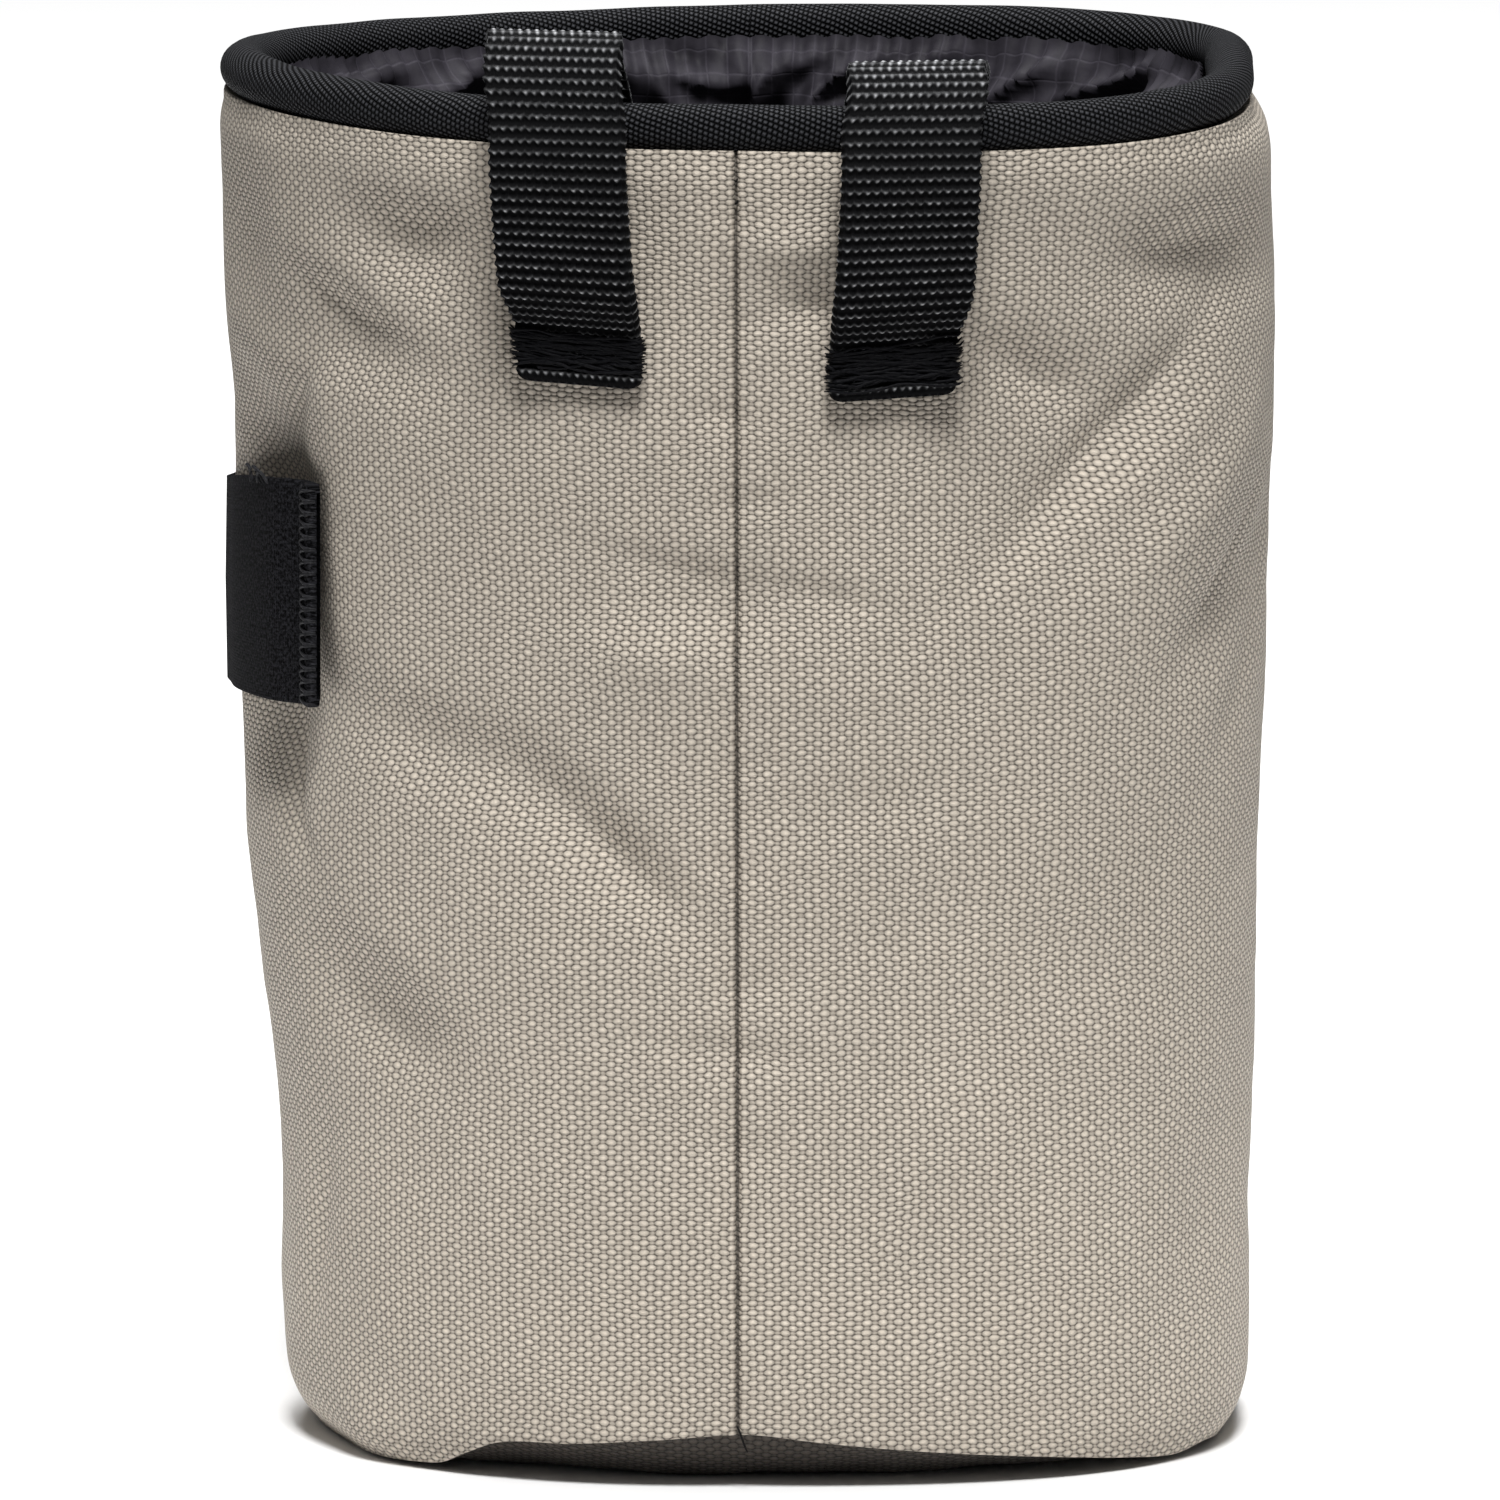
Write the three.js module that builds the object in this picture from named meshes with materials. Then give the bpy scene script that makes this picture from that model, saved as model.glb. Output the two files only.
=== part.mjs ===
// A climbing chalk bag: a soft woven bucket with a bound mouth, a gathered lining,
// two webbing belt loops beside its centre seam and an elastic brush loop at its left.
// Millimetres, +Z up, the floor at z = 0, the seam side facing -Y.
import * as THREE from "three";

// Woven shell
const BODY_WIDTH = 123;
const BODY_DEPTH = 122;
const BODY_HEIGHT = 157.4;
const WALL_THICKNESS = 1.8;
const MOUTH_DIP = 2;
const HEM_RISE = 6.3;
const FOLD_DEPTH = 2.2;

// Base panel
const BASE_THICKNESS = 1.8;
const HEM_OVERHANG = 0.3;

// Mouth binding
const BINDING_DIAMETER = 5.8;
const BINDING_OVERHANG = 1.4;

// Lining
const LINING_THICKNESS = 1;
const LINING_ROOM = 0.6;
const GATHER_DEPTH = 2.4;
const GATHER_COUNT = 16;

// Belt loops
const WEBBING_WIDTH = 15.8;
const WEBBING_THICKNESS = 1.6;
const LOOP_STAND_OFF = 8.4;
const LOOP_SEWN_WIDTH = 14.4;
const LOOP_TAIL = 13;
const LOOP_SEWN_LENGTH = 6;
const LOOP_LEAN = 1.8;
const LOOP_END_TILT = 3;
const BELT_LOOPS = [
  { name: "belt_loop_left", around: -18.3, rise: 10.2, drop: 29.8 },
  { name: "belt_loop_right", around: 15.2, rise: 7.3, drop: 30.8 },
];

// Brush loop
const ELASTIC_HEIGHT = 26;
const ELASTIC_THICKNESS = 1;
const ELASTIC_MIDDLE = 102;
const ELASTIC_HEM = 4;
const BRUSH_LOOP_AROUND = -84;
const BRUSH_LOOP_SPAN = 58;
const BRUSH_HOLLOW = 6.6;
const BRUSH_HOLLOW_AROUND = -70.5;

// Air left between two pieces that touch
const CLEARANCE = 0.3;

// Columns of facets round the shell, closer together on the seam side
const SHELL_COLUMNS = 60;
const LINING_COLUMNS = 4 * GATHER_COUNT;
const SEAM_SIDE_BIAS = 0.35;

// Outside of the shell at shares of its height, as shares of half its width or depth.
// A squareness of 2 is an ellipse, and more is a rounder-cornered square.
const WALL_SECTIONS = [
  { height: 0, left: 0.847, right: 0.925, front: 0.86, back: 0.86, squareLeft: 2.05, squareRight: 2.6 },
  { height: 0.02, left: 0.872, right: 0.945, front: 0.888, back: 0.888, squareLeft: 2.05, squareRight: 2.55 },
  { height: 0.053, left: 0.889, right: 0.956, front: 0.905, back: 0.905, squareLeft: 2.05, squareRight: 2.5 },
  { height: 0.165, left: 0.896, right: 0.955, front: 0.915, back: 0.912, squareLeft: 2.1, squareRight: 2.45 },
  { height: 0.241, left: 0.901, right: 0.962, front: 0.922, back: 0.918, squareLeft: 2.1, squareRight: 2.4 },
  { height: 0.316, left: 0.924, right: 0.966, front: 0.93, back: 0.926, squareLeft: 2.1, squareRight: 2.4 },
  { height: 0.467, left: 0.966, right: 0.972, front: 0.95, back: 0.945, squareLeft: 2.1, squareRight: 2.4 },
  { height: 0.618, left: 0.985, right: 0.989, front: 0.972, back: 0.966, squareLeft: 2.1, squareRight: 2.5 },
  { height: 0.768, left: 0.992, right: 0.999, front: 0.988, back: 0.985, squareLeft: 2.1, squareRight: 2.6 },
  { height: 0.92, left: 1.004, right: 0.995, front: 1, back: 1, squareLeft: 2.05, squareRight: 2.7 },
  { height: 0.975, left: 1.002, right: 0.977, front: 1.006, back: 1.004, squareLeft: 2.05, squareRight: 2.8 },
  { height: 1, left: 0.985, right: 0.934, front: 0.99, back: 0.99, squareLeft: 2.05, squareRight: 2.8 },
];

// Height of the wall's bottom edge round the bag, as shares of the rise of the hem.
const HEM_HEIGHTS = [
  { around: -180, rise: 0.8 },
  { around: -150, rise: 0.6 },
  { around: -115, rise: 0.15 },
  { around: -85, rise: 0.06 },
  { around: -60, rise: 0.03 },
  { around: -43, rise: 0.06 },
  { around: -35, rise: 0.46 },
  { around: -27, rise: 0.68 },
  { around: -15, rise: 0.84 },
  { around: 0, rise: 1 },
  { around: 9, rise: 0.84 },
  { around: 19, rise: 0.67 },
  { around: 37, rise: 0.4 },
  { around: 52, rise: 0.05 },
  { around: 75, rise: 0.04 },
  { around: 110, rise: 0.55 },
  { around: 145, rise: 0.9 },
  { around: 180, rise: 0.8 },
];

// How far the mouth hangs below its highest place, round the bag, as shares of its dip.
const MOUTH_HEIGHTS = [
  { around: -180, dip: 0.92 },
  { around: -160, dip: 1.1 },
  { around: -135, dip: 1 },
  { around: -105, dip: 0.5 },
  { around: -85, dip: 0.1 },
  { around: -60, dip: 0.2 },
  { around: -30, dip: 0.55 },
  { around: 0, dip: 0.76 },
  { around: 14, dip: 0.87 },
  { around: 28, dip: 0.92 },
  { around: 40, dip: 0.89 },
  { around: 55, dip: 0.66 },
  { around: 68, dip: 0.45 },
  { around: 85, dip: 0.05 },
  { around: 116, dip: 0.62 },
  { around: 145, dip: 0.78 },
  { around: 180, dip: 0.92 },
];

// Folds pressed into the wall: degrees round from the seam side and a share of the height for
// the middle, shares of the height for half the length and half the width, and the depth
// as a share of the deepest fold. A fold with a negative depth stands out as a ridge.
const FOLDS = [
  { around: -39, up: 0.545, long: 0.11, wide: 0.032, deep: 0.75, slope: -13 },
  { around: -17, up: 0.475, long: 0.09, wide: 0.032, deep: 0.8, slope: -38 },
  { around: -3.5, up: 0.66, long: 0.08, wide: 0.022, deep: 0.4, slope: -8 },
  { around: 13, up: 0.51, long: 0.09, wide: 0.024, deep: 0.3, slope: 6 },
  { around: 43.5, up: 0.735, long: 0.13, wide: 0.032, deep: 0.85, slope: 35 },
  { around: 53, up: 0.69, long: 0.13, wide: 0.034, deep: -0.55, slope: 31 },
  { around: 66, up: 0.65, long: 0.1, wide: 0.03, deep: 0.5, slope: 28 },
  { around: 56, up: 0.893, long: 0.11, wide: 0.032, deep: 0.8, slope: -3 },
  { around: -39, up: 0.912, long: 0.06, wide: 0.028, deep: 0.7, slope: -9 },
  { around: -50, up: 0.835, long: 0.1, wide: 0.028, deep: 0.7, slope: -8 },
  { around: -72, up: 0.9, long: 0.05, wide: 0.035, deep: 0.4, slope: 0 },
  { around: -46, up: 0.34, long: 0.09, wide: 0.032, deep: 0.5, slope: -27 },
  { around: 33, up: 0.365, long: 0.13, wide: 0.055, deep: 0.35, slope: 18 },
  { around: -128, up: 0.42, long: 0.14, wide: 0.04, deep: 0.5, slope: 24 },
  { around: 118, up: 0.58, long: 0.15, wide: 0.045, deep: 0.5, slope: -22 },
  { around: 168, up: 0.7, long: 0.14, wide: 0.04, deep: 0.4, slope: 12 },
  { around: -160, up: 0.25, long: 0.13, wide: 0.045, deep: 0.35, slope: -18 },
];

// Middle line of the webbing from its sewn end outside, over the mouth, to its end inside.
// out is a share of the stand-off and up a share of the drop (-1) or, above the binding,
// of the rise (+1).
const LOOP_ROUTE = [
  { out: 0.62, up: -0.6 },
  { out: 0.88, up: -0.32 },
  { out: 1, up: -0.08 },
  { out: 0.88, up: 0.42 },
  { out: 0.53, up: 0.86 },
  { out: 0.12, up: 1 },
  { out: -0.26, up: 0.82 },
  { out: -0.6, up: 0.42 },
];

const rowMaterial = (color, roughness) =>
  new THREE.MeshStandardMaterial({ color, roughness, metalness: 0 });
const SHELL_CLOTH = rowMaterial(0xb4aba0, 0.82);
const LINING_CLOTH = rowMaterial(0x3c3940, 0.6);
const BINDING_TAPE = rowMaterial(0x17171a, 0.7);
const WEBBING = rowMaterial(0x141416, 0.66);
const ELASTIC = rowMaterial(0x1a1a1c, 0.8);

const { degToRad, lerp, smoothstep } = THREE.MathUtils;

/** Smooth curves through a table whose first column is the position and the rest are values. */
function tableCurve(rows) {
  const [position, ...columns] = Object.keys(rows[0]);
  const curve = new THREE.CubicInterpolant(
    rows.map((row) => row[position]),
    rows.flatMap((row) => columns.map((column) => row[column])),
    columns.length,
    new Array(columns.length),
  );
  return (at) => {
    const values = curve.evaluate(at);
    return Object.fromEntries(columns.map((column, index) => [column, values[index]]));
  };
}

const wallSection = tableCurve(WALL_SECTIONS);
const hemShare = tableCurve(HEM_HEIGHTS);
const mouthShare = tableCurve(MOUTH_HEIGHTS);

/** The point at a distance from the bag's axis: 0 degrees is the seam side, 90 the right. */
function around(angle, radius, z) {
  const turn = degToRad(angle);
  return new THREE.Vector3(radius * Math.sin(turn), -radius * Math.cos(turn), z);
}

/** Angle between two directions round the bag, from -180 to 180. */
function turnBetween(angle, other) {
  return THREE.MathUtils.euclideanModulo(angle - other + 180, 360) - 180;
}

/** A soft bump of height 1 that fades to nothing beyond its half width. */
function softBump(distance, halfWidth) {
  return Math.exp(-((distance / halfWidth) ** 2));
}

/** How far the folds press in the wall at an angle and a height. */
function foldDepth(angle, z) {
  const arcPerDegree = degToRad(BODY_WIDTH / 2);
  let depth = 0;
  for (const fold of FOLDS) {
    const across = turnBetween(angle, fold.around) * arcPerDegree;
    const upward = z - fold.up * BODY_HEIGHT;
    const slope = degToRad(fold.slope);
    const along = across * Math.cos(slope) + upward * Math.sin(slope);
    const beside = upward * Math.cos(slope) - across * Math.sin(slope);
    const shape = softBump(along, fold.long * BODY_HEIGHT) * softBump(beside, fold.wide * BODY_HEIGHT);
    depth += fold.deep * FOLD_DEPTH * shape;
  }
  return depth;
}

/** How far the elastic's pull hollows the wall behind the brush loop. */
function brushHollow(angle, z) {
  const beside = softBump(turnBetween(angle, BRUSH_HOLLOW_AROUND), BRUSH_LOOP_SPAN * 0.235);
  const upward = ((z - ELASTIC_MIDDLE) / (ELASTIC_HEIGHT * 0.85)) ** 2;
  return BRUSH_HOLLOW * beside * softBump(upward, 1);
}

/** Distance from the axis to the outside of the wall before it is folded. */
function fullRadius(angle, z) {
  const section = wallSection(THREE.MathUtils.clamp(z / BODY_HEIGHT, 0, 1));
  const sine = Math.sin(degToRad(angle));
  const cosine = Math.cos(degToRad(angle));
  const side = ((sine < 0 ? section.left : section.right) * BODY_WIDTH) / 2;
  const depth = ((cosine > 0 ? section.front : section.back) * BODY_DEPTH) / 2;
  const square = lerp(section.squareLeft, section.squareRight, (1 + sine) / 2);
  const sum = Math.abs(sine / side) ** square + Math.abs(cosine / depth) ** square;
  return sum ** (-1 / square);
}

/** Distance from the axis to the outside of the wall. */
function wallRadius(angle, z) {
  return fullRadius(angle, z) - foldDepth(angle, z) - brushHollow(angle, z);
}

/** Height of the wall's bottom edge. */
function hemHeight(angle) {
  return HEM_RISE * Math.max(0.03, hemShare(turnBetween(angle, 0)).rise);
}

/** Height of the wall's top edge. */
function topHeight(angle) {
  return BODY_HEIGHT - MOUTH_DIP * mouthShare(turnBetween(angle, 0)).dip;
}

/** Middle of the binding, above the wall's top edge. */
function bindingMiddle(angle) {
  const z = topHeight(angle) + BINDING_DIAMETER / 2 + CLEARANCE;
  return { radius: wallRadius(angle, topHeight(angle)) - BINDING_OVERHANG, z };
}

/**
 * A closed skin of revolution whose every point is then placed by hand: stations run along
 * the profile, and place(station, angle) gives the point of that station at that angle.
 */
function turnedSkin(stations, columns, place) {
  const outline = stations.map((_, index) => new THREE.Vector2(1, index));
  const geometry = new THREE.LatheGeometry(outline, columns);
  const position = geometry.getAttribute("position");
  for (let vertex = 0; vertex < position.count; vertex += 1) {
    const station = stations[vertex % stations.length];
    const column = Math.floor(vertex / stations.length) % columns;
    const even = (2 * Math.PI * column) / columns - Math.PI;
    const angle = THREE.MathUtils.radToDeg(even - SEAM_SIDE_BIAS * Math.sin(even));
    position.setXYZ(vertex, ...place(station, angle).toArray());
  }
  geometry.computeVertexNormals();
  return geometry;
}

/** Even shares from first to last, both included. */
function shares(first, last, steps) {
  return Array.from({ length: steps + 1 }, (_, index) => lerp(first, last, index / steps));
}

// The shell: a tube of cloth, open at the top and closed by the base panel.
const WALL_ROWS = [0, 0.018, ...shares(0.045, 0.955, 19), 0.982, 1];

function wallGeometry() {
  const outside = WALL_ROWS.map((share) => ({ share, inset: 0 }));
  const inside = WALL_ROWS.map((share) => ({ share, inset: WALL_THICKNESS })).reverse();
  const stations = [...outside, ...inside, outside[0]];
  return turnedSkin(stations, SHELL_COLUMNS, ({ share, inset }, angle) => {
    const z = lerp(hemHeight(angle), topHeight(angle), share);
    return around(angle, wallRadius(angle, z) - inset, z);
  });
}

// The base panel: flat where it rests on the floor, pillowed up to the hem round its edge.
const BASE_FLAT_SHARE = 0.82;
const BASE_CURVE = 1.6;

/** Distance from the axis to the edge of the base panel. */
function baseRadius(angle) {
  return wallRadius(angle, hemHeight(angle)) - WALL_THICKNESS - HEM_OVERHANG;
}

/** Height of the base panel's underside at a share of its radius. */
function baseHeight(angle, share) {
  const past = Math.max(0, (share - BASE_FLAT_SHARE) / (1 - BASE_FLAT_SHARE));
  return (hemHeight(angle) + CLEARANCE) * past ** BASE_CURVE;
}

function baseGeometry() {
  const spokes = [0, BASE_FLAT_SHARE, 0.89, 0.95, 1];
  const under = spokes.map((share) => ({ share, lift: 0 }));
  const above = spokes.map((share) => ({ share, lift: BASE_THICKNESS })).reverse();
  return turnedSkin([...under, ...above], SHELL_COLUMNS, ({ share, lift }, angle) =>
    around(angle, baseRadius(angle) * share, baseHeight(angle, share) + lift),
  );
}

// The binding: a cord-filled tape, cut away below on the inside where the lining comes out.
const BINDING_SIDES = 9;
const BINDING_INNER_END = 205;

function bindingGeometry() {
  const radius = BINDING_DIAMETER / 2;
  const turns = shares(-90, BINDING_INNER_END, BINDING_SIDES - 1);
  const stations = [...turns, turns[0]];
  return turnedSkin(stations, SHELL_COLUMNS, (turn, angle) => {
    const middle = bindingMiddle(angle);
    const out = radius * Math.cos(degToRad(turn));
    const up = radius * Math.sin(degToRad(turn));
    return around(angle, middle.radius + out, middle.z + up);
  });
}

// The lining: a closed sleeve of thin cloth, gathered where it joins the binding.
const LINING_DEPTHS = [0, 0.015, 0.035, 0.07, 0.14, 0.3, 0.55, 0.8, 0.955];
const LINING_FLOOR_SHARES = [0.9, 0.55, 0];
const STRAP_CALM = 14;
const LINING_REACH = 4;

/** Height of the lining's upper edge, against the inside of the binding. */
function liningTop(angle) {
  return bindingMiddle(angle).z - BINDING_DIAMETER * 0.2;
}

/** 0 beside a belt loop, where the lining is sewn flat, and 1 away from it. */
function awayFromStraps(angle) {
  const near = BELT_LOOPS.map((loop) => Math.abs(turnBetween(angle, loop.around)));
  return smoothstep(Math.min(...near), STRAP_CALM * 0.6, STRAP_CALM);
}

/** How far the gathers pull the lining away from the wall at a share of its depth. */
function gatherPull(angle, share) {
  const wave = Math.cos(degToRad(GATHER_COUNT * angle));
  const uneven = 0.75 + 0.25 * Math.sin(degToRad(3 * angle + 40));
  const swell = smoothstep(share, 0, 0.035) * (1 - smoothstep(share, 0.05, 0.6));
  return GATHER_DEPTH * (0.5 + 0.5 * wave) * uneven * swell * awayFromStraps(angle);
}

/** Height of the lining's side at a share of its depth. */
function liningHeight(angle, share) {
  return lerp(liningTop(angle), hemHeight(angle) + BASE_THICKNESS + 2 * CLEARANCE, share);
}

/** Narrowest distance from the axis to the wall around one row of the lining. */
function narrowestWall(angle, share) {
  const before = LINING_DEPTHS.findLast((depth) => depth < share) ?? 0;
  const after = LINING_DEPTHS.find((depth) => depth > share) ?? 1;
  const radii = shares(-LINING_REACH, LINING_REACH, 4).flatMap((turn) =>
    shares(before, after, 6).map((depth) =>
      wallRadius(angle + turn, liningHeight(angle + turn, depth)),
    ),
  );
  return Math.min(...radii);
}

/** Distance from the axis to the outside of the lining at a share of its depth. */
function liningRadius(angle, share) {
  const tucked = bindingMiddle(angle).radius - BINDING_DIAMETER / 2 - CLEARANCE;
  const against = narrowestWall(angle, share) - WALL_THICKNESS - LINING_ROOM;
  const settled = lerp(tucked, against, smoothstep(share, 0.02, 0.16));
  return Math.min(settled, against) - gatherPull(angle, share);
}

function liningGeometry() {
  const sides = LINING_DEPTHS.map((share) => ({ share, inset: 0 }));
  const floor = LINING_FLOOR_SHARES.map((spoke) => ({ spoke, lift: 0 }));
  const innerSides = LINING_DEPTHS.map((share) => ({ share, inset: LINING_THICKNESS })).reverse();
  const innerFloor = LINING_FLOOR_SHARES.map((spoke) => ({ spoke, lift: LINING_THICKNESS })).reverse();
  const stations = [...innerFloor, ...innerSides, ...sides, ...floor].reverse();
  return turnedSkin(stations, LINING_COLUMNS, (station, angle) => {
    if ("spoke" in station) {
      const z = baseHeight(angle, station.spoke) + BASE_THICKNESS + CLEARANCE + station.lift;
      return around(angle, baseRadius(angle) * station.spoke, z);
    }
    const z = liningHeight(angle, station.share);
    return around(angle, liningRadius(angle, station.share) - station.inset, z);
  });
}

/** Outline of a band of even thickness along a smooth line in a plane. */
function bandShape(points, thickness, steps) {
  const line = new THREE.SplineCurve(points);
  const outer = [];
  const inner = [];
  for (const share of shares(0, 1, steps)) {
    const point = line.getPointAt(share);
    const tangent = line.getTangentAt(share);
    const normal = new THREE.Vector2(-tangent.y, tangent.x).multiplyScalar(thickness / 2);
    outer.push(point.clone().add(normal));
    inner.push(point.clone().sub(normal));
  }
  return new THREE.Shape([...outer, ...inner.reverse()]);
}

/** Direction in which the wall faces, in degrees round the bag, measured across a width. */
function facing(radiusAt, angle, width) {
  const half = THREE.MathUtils.radToDeg(width / 2 / radiusAt(angle));
  const low = around(angle - half, radiusAt(angle - half), 0);
  const high = around(angle + half, radiusAt(angle + half), 0);
  return THREE.MathUtils.radToDeg(Math.atan2(high.y - low.y, high.x - low.x));
}

// The belt loops: webbing sewn to the wall, arched over the binding and sewn inside.
const LOOP_STEPS = 30;

function beltLoopGeometry({ around: angle, rise, drop }) {
  const middle = bindingMiddle(angle);
  const half = WEBBING_THICKNESS / 2;
  const mouthFacing = facing((turn) => bindingMiddle(turn).radius, angle, WEBBING_WIDTH);
  const wallFacing = facing((turn) => wallRadius(turn, middle.z - drop), angle, WEBBING_WIDTH);
  const origin = around(angle, middle.radius, 0);
  const halfTurn = THREE.MathUtils.radToDeg((WEBBING_WIDTH / 2 + LOOP_LEAN) / middle.radius);
  const reach = (radiusAt, yaw, side) => {
    const outward = around(yaw, side, 0);
    const distances = shares(angle - halfTurn, angle + halfTurn, 8).map((turn) =>
      around(turn, radiusAt(turn), 0).sub(origin).dot(outward),
    );
    return Math.max(...distances) + CLEARANCE + half;
  };
  const wallOut = (up) => reach((turn) => wallRadius(turn, middle.z + up), wallFacing, 1);
  const liningOut = (up) => {
    const share = Math.max(0, (liningTop(angle) - middle.z - up) / BODY_HEIGHT);
    return -reach((turn) => liningRadius(turn, share) - LINING_THICKNESS, mouthFacing, -1);
  };
  const tail = -LOOP_TAIL + LOOP_SEWN_LENGTH / 2;
  const points = [
    new THREE.Vector2(wallOut(-drop), -drop),
    new THREE.Vector2(wallOut(LOOP_SEWN_LENGTH - drop), LOOP_SEWN_LENGTH - drop),
    ...LOOP_ROUTE.map(({ out, up }) => {
      const height = up < 0 ? up * drop : up * rise;
      return new THREE.Vector2(out * LOOP_STAND_OFF + BINDING_OVERHANG, height);
    }),
    new THREE.Vector2(liningOut(0), 0),
    new THREE.Vector2(liningOut(tail), tail),
    new THREE.Vector2(liningOut(-LOOP_TAIL), -LOOP_TAIL),
  ];
  const geometry = new THREE.ExtrudeGeometry(bandShape(points, WEBBING_THICKNESS, LOOP_STEPS), {
    depth: WEBBING_WIDTH,
    steps: 2,
    bevelEnabled: false,
  });
  const position = geometry.getAttribute("position");
  for (let vertex = 0; vertex < position.count; vertex += 1) {
    const out = position.getX(vertex);
    const up = position.getY(vertex);
    const sewn = 1 - smoothstep(up + drop, LOOP_SEWN_LENGTH, 2 * LOOP_SEWN_LENGTH);
    const width = lerp(1, LOOP_SEWN_WIDTH / WEBBING_WIDTH, sewn);
    const across = (WEBBING_WIDTH / 2 - position.getZ(vertex)) * width;
    const down = smoothstep(-up, 0, drop);
    const yaw = degToRad(lerp(mouthFacing, wallFacing, down));
    const lean = Math.sign(angle) * LOOP_LEAN * smoothstep(up, 0, rise);
    const tilt = Math.sign(angle) * Math.tan(degToRad(LOOP_END_TILT)) * across * down;
    const start = around(angle, middle.radius + out, middle.z + up + tilt);
    const sideways = new THREE.Vector3(Math.cos(yaw), Math.sin(yaw), 0);
    position.setXYZ(vertex, ...start.addScaledVector(sideways, across + lean).toArray());
  }
  geometry.computeVertexNormals();
  return geometry;
}

// The brush loop: a standing sleeve of elastic, its two hems sewn flat to the wall.
const ELASTIC_STEPS = 26;

function brushLoopGeometry() {
  const seat = CLEARANCE + ELASTIC_THICKNESS / 2;
  const heights = shares(-0.5, 0.5, 6).map((share) => ELASTIC_MIDDLE + share * ELASTIC_HEIGHT);
  const clearRadius = (angle) =>
    Math.max(...heights.flatMap((z) => [-2, 0, 2].map((turn) => wallRadius(angle + turn, z))));
  const start = BRUSH_LOOP_AROUND - BRUSH_LOOP_SPAN / 2;
  const hem = THREE.MathUtils.radToDeg(ELASTIC_HEM / clearRadius(start)) / BRUSH_LOOP_SPAN;
  const route = [0, hem, ...shares(hem + 0.1, 0.9 - hem, 5), 1 - hem, 1].map((share) => {
    const angle = start + share * BRUSH_LOOP_SPAN;
    const lifted = smoothstep(Math.min(share, 1 - share), hem, hem + 0.1);
    const stretched = Math.max(clearRadius(angle), fullRadius(angle, ELASTIC_MIDDLE));
    const point = around(angle, lerp(clearRadius(angle), stretched, lifted) + seat, 0);
    return new THREE.Vector2(point.x, point.y);
  });
  const geometry = new THREE.ExtrudeGeometry(bandShape(route, ELASTIC_THICKNESS, ELASTIC_STEPS), {
    depth: ELASTIC_HEIGHT,
    steps: 3,
    bevelEnabled: false,
  });
  geometry.translate(0, 0, ELASTIC_MIDDLE - ELASTIC_HEIGHT / 2);
  return geometry;
}

/** A named piece of the bag. */
function piece(name, geometry, material) {
  const mesh = new THREE.Mesh(geometry, material);
  mesh.name = name;
  return mesh;
}

const chalkBag = new THREE.Group();
chalkBag.name = "chalk_bag";
chalkBag.add(
  piece("bag_body", wallGeometry(), SHELL_CLOTH),
  piece("base_panel", baseGeometry(), SHELL_CLOTH),
  piece("mouth_binding", bindingGeometry(), BINDING_TAPE),
  piece("lining", liningGeometry(), LINING_CLOTH),
  ...BELT_LOOPS.map((loop) => piece(loop.name, beltLoopGeometry(loop), WEBBING)),
  piece("brush_loop", brushLoopGeometry(), ELASTIC),
);

export default chalkBag;
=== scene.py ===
"""A climbing chalk bag, dressed in woven cloth, twill tape, ripstop, webbing and elastic."""

import math

import bpy
import numpy as np
from bpy.props import FloatProperty, FloatVectorProperty, IntProperty, PointerProperty
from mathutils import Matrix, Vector, noise


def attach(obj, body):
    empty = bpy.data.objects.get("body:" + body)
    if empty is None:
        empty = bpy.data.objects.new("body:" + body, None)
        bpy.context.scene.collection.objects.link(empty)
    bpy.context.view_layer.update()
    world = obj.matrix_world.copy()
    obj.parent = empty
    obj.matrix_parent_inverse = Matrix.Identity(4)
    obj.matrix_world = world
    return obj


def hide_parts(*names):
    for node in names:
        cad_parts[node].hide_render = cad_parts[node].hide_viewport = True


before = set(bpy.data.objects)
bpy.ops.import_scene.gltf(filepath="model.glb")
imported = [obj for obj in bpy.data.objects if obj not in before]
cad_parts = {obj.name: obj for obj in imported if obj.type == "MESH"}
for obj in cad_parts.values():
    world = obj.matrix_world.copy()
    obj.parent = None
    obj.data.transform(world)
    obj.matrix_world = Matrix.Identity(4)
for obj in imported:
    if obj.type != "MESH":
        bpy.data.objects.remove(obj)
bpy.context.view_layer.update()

bl_info = {
    "name": "Climbing Chalk Bag",
    "version": (1, 0, 0),
    "blender": (4, 5, 0),
    "location": "View3D > Sidebar > Chalk Bag",
    "description": "Sews the woven wall, lining, binding and loops of a chalk bag",
    "category": "Add Mesh",
}

MM = 0.001

# Sizes are in millimetres, turns in degrees, and z is measured from the floor.
BODY_WIDTH = 123.0
BODY_DEPTH = 122.0
BODY_HEIGHT = 157.4
MOUTH_DIP = 2.0
HEM_RISE = 6.3
FOLD_DEPTH = 2.2
BASE_FLAT_SHARE = 0.82
BASE_CURVE = 1.6
BINDING_DIAMETER = 5.8
BINDING_OVERHANG = 1.4
CLEARANCE = 0.3
WALL_THICKNESS = 1.8
WEBBING_WIDTH = 15.8
WEBBING_THICKNESS = 1.6
LOOP_SEWN_WIDTH = 14.4
LOOP_SEWN_LENGTH = 6.0
LOOP_STAND_OFF = 8.4
LOOP_TAIL = 13.0
LOOP_LEAN = 1.8
LOOP_END_TILT = 3.0
LOOP_SHEAR = 0.38
ELASTIC_HEIGHT = 26.0
ELASTIC_THICKNESS = 1.0
ELASTIC_MIDDLE = 102.0
ELASTIC_HEM = 4.0
BRUSH_LOOP_AROUND = -84.0
BRUSH_LOOP_SPAN = 58.0
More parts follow.
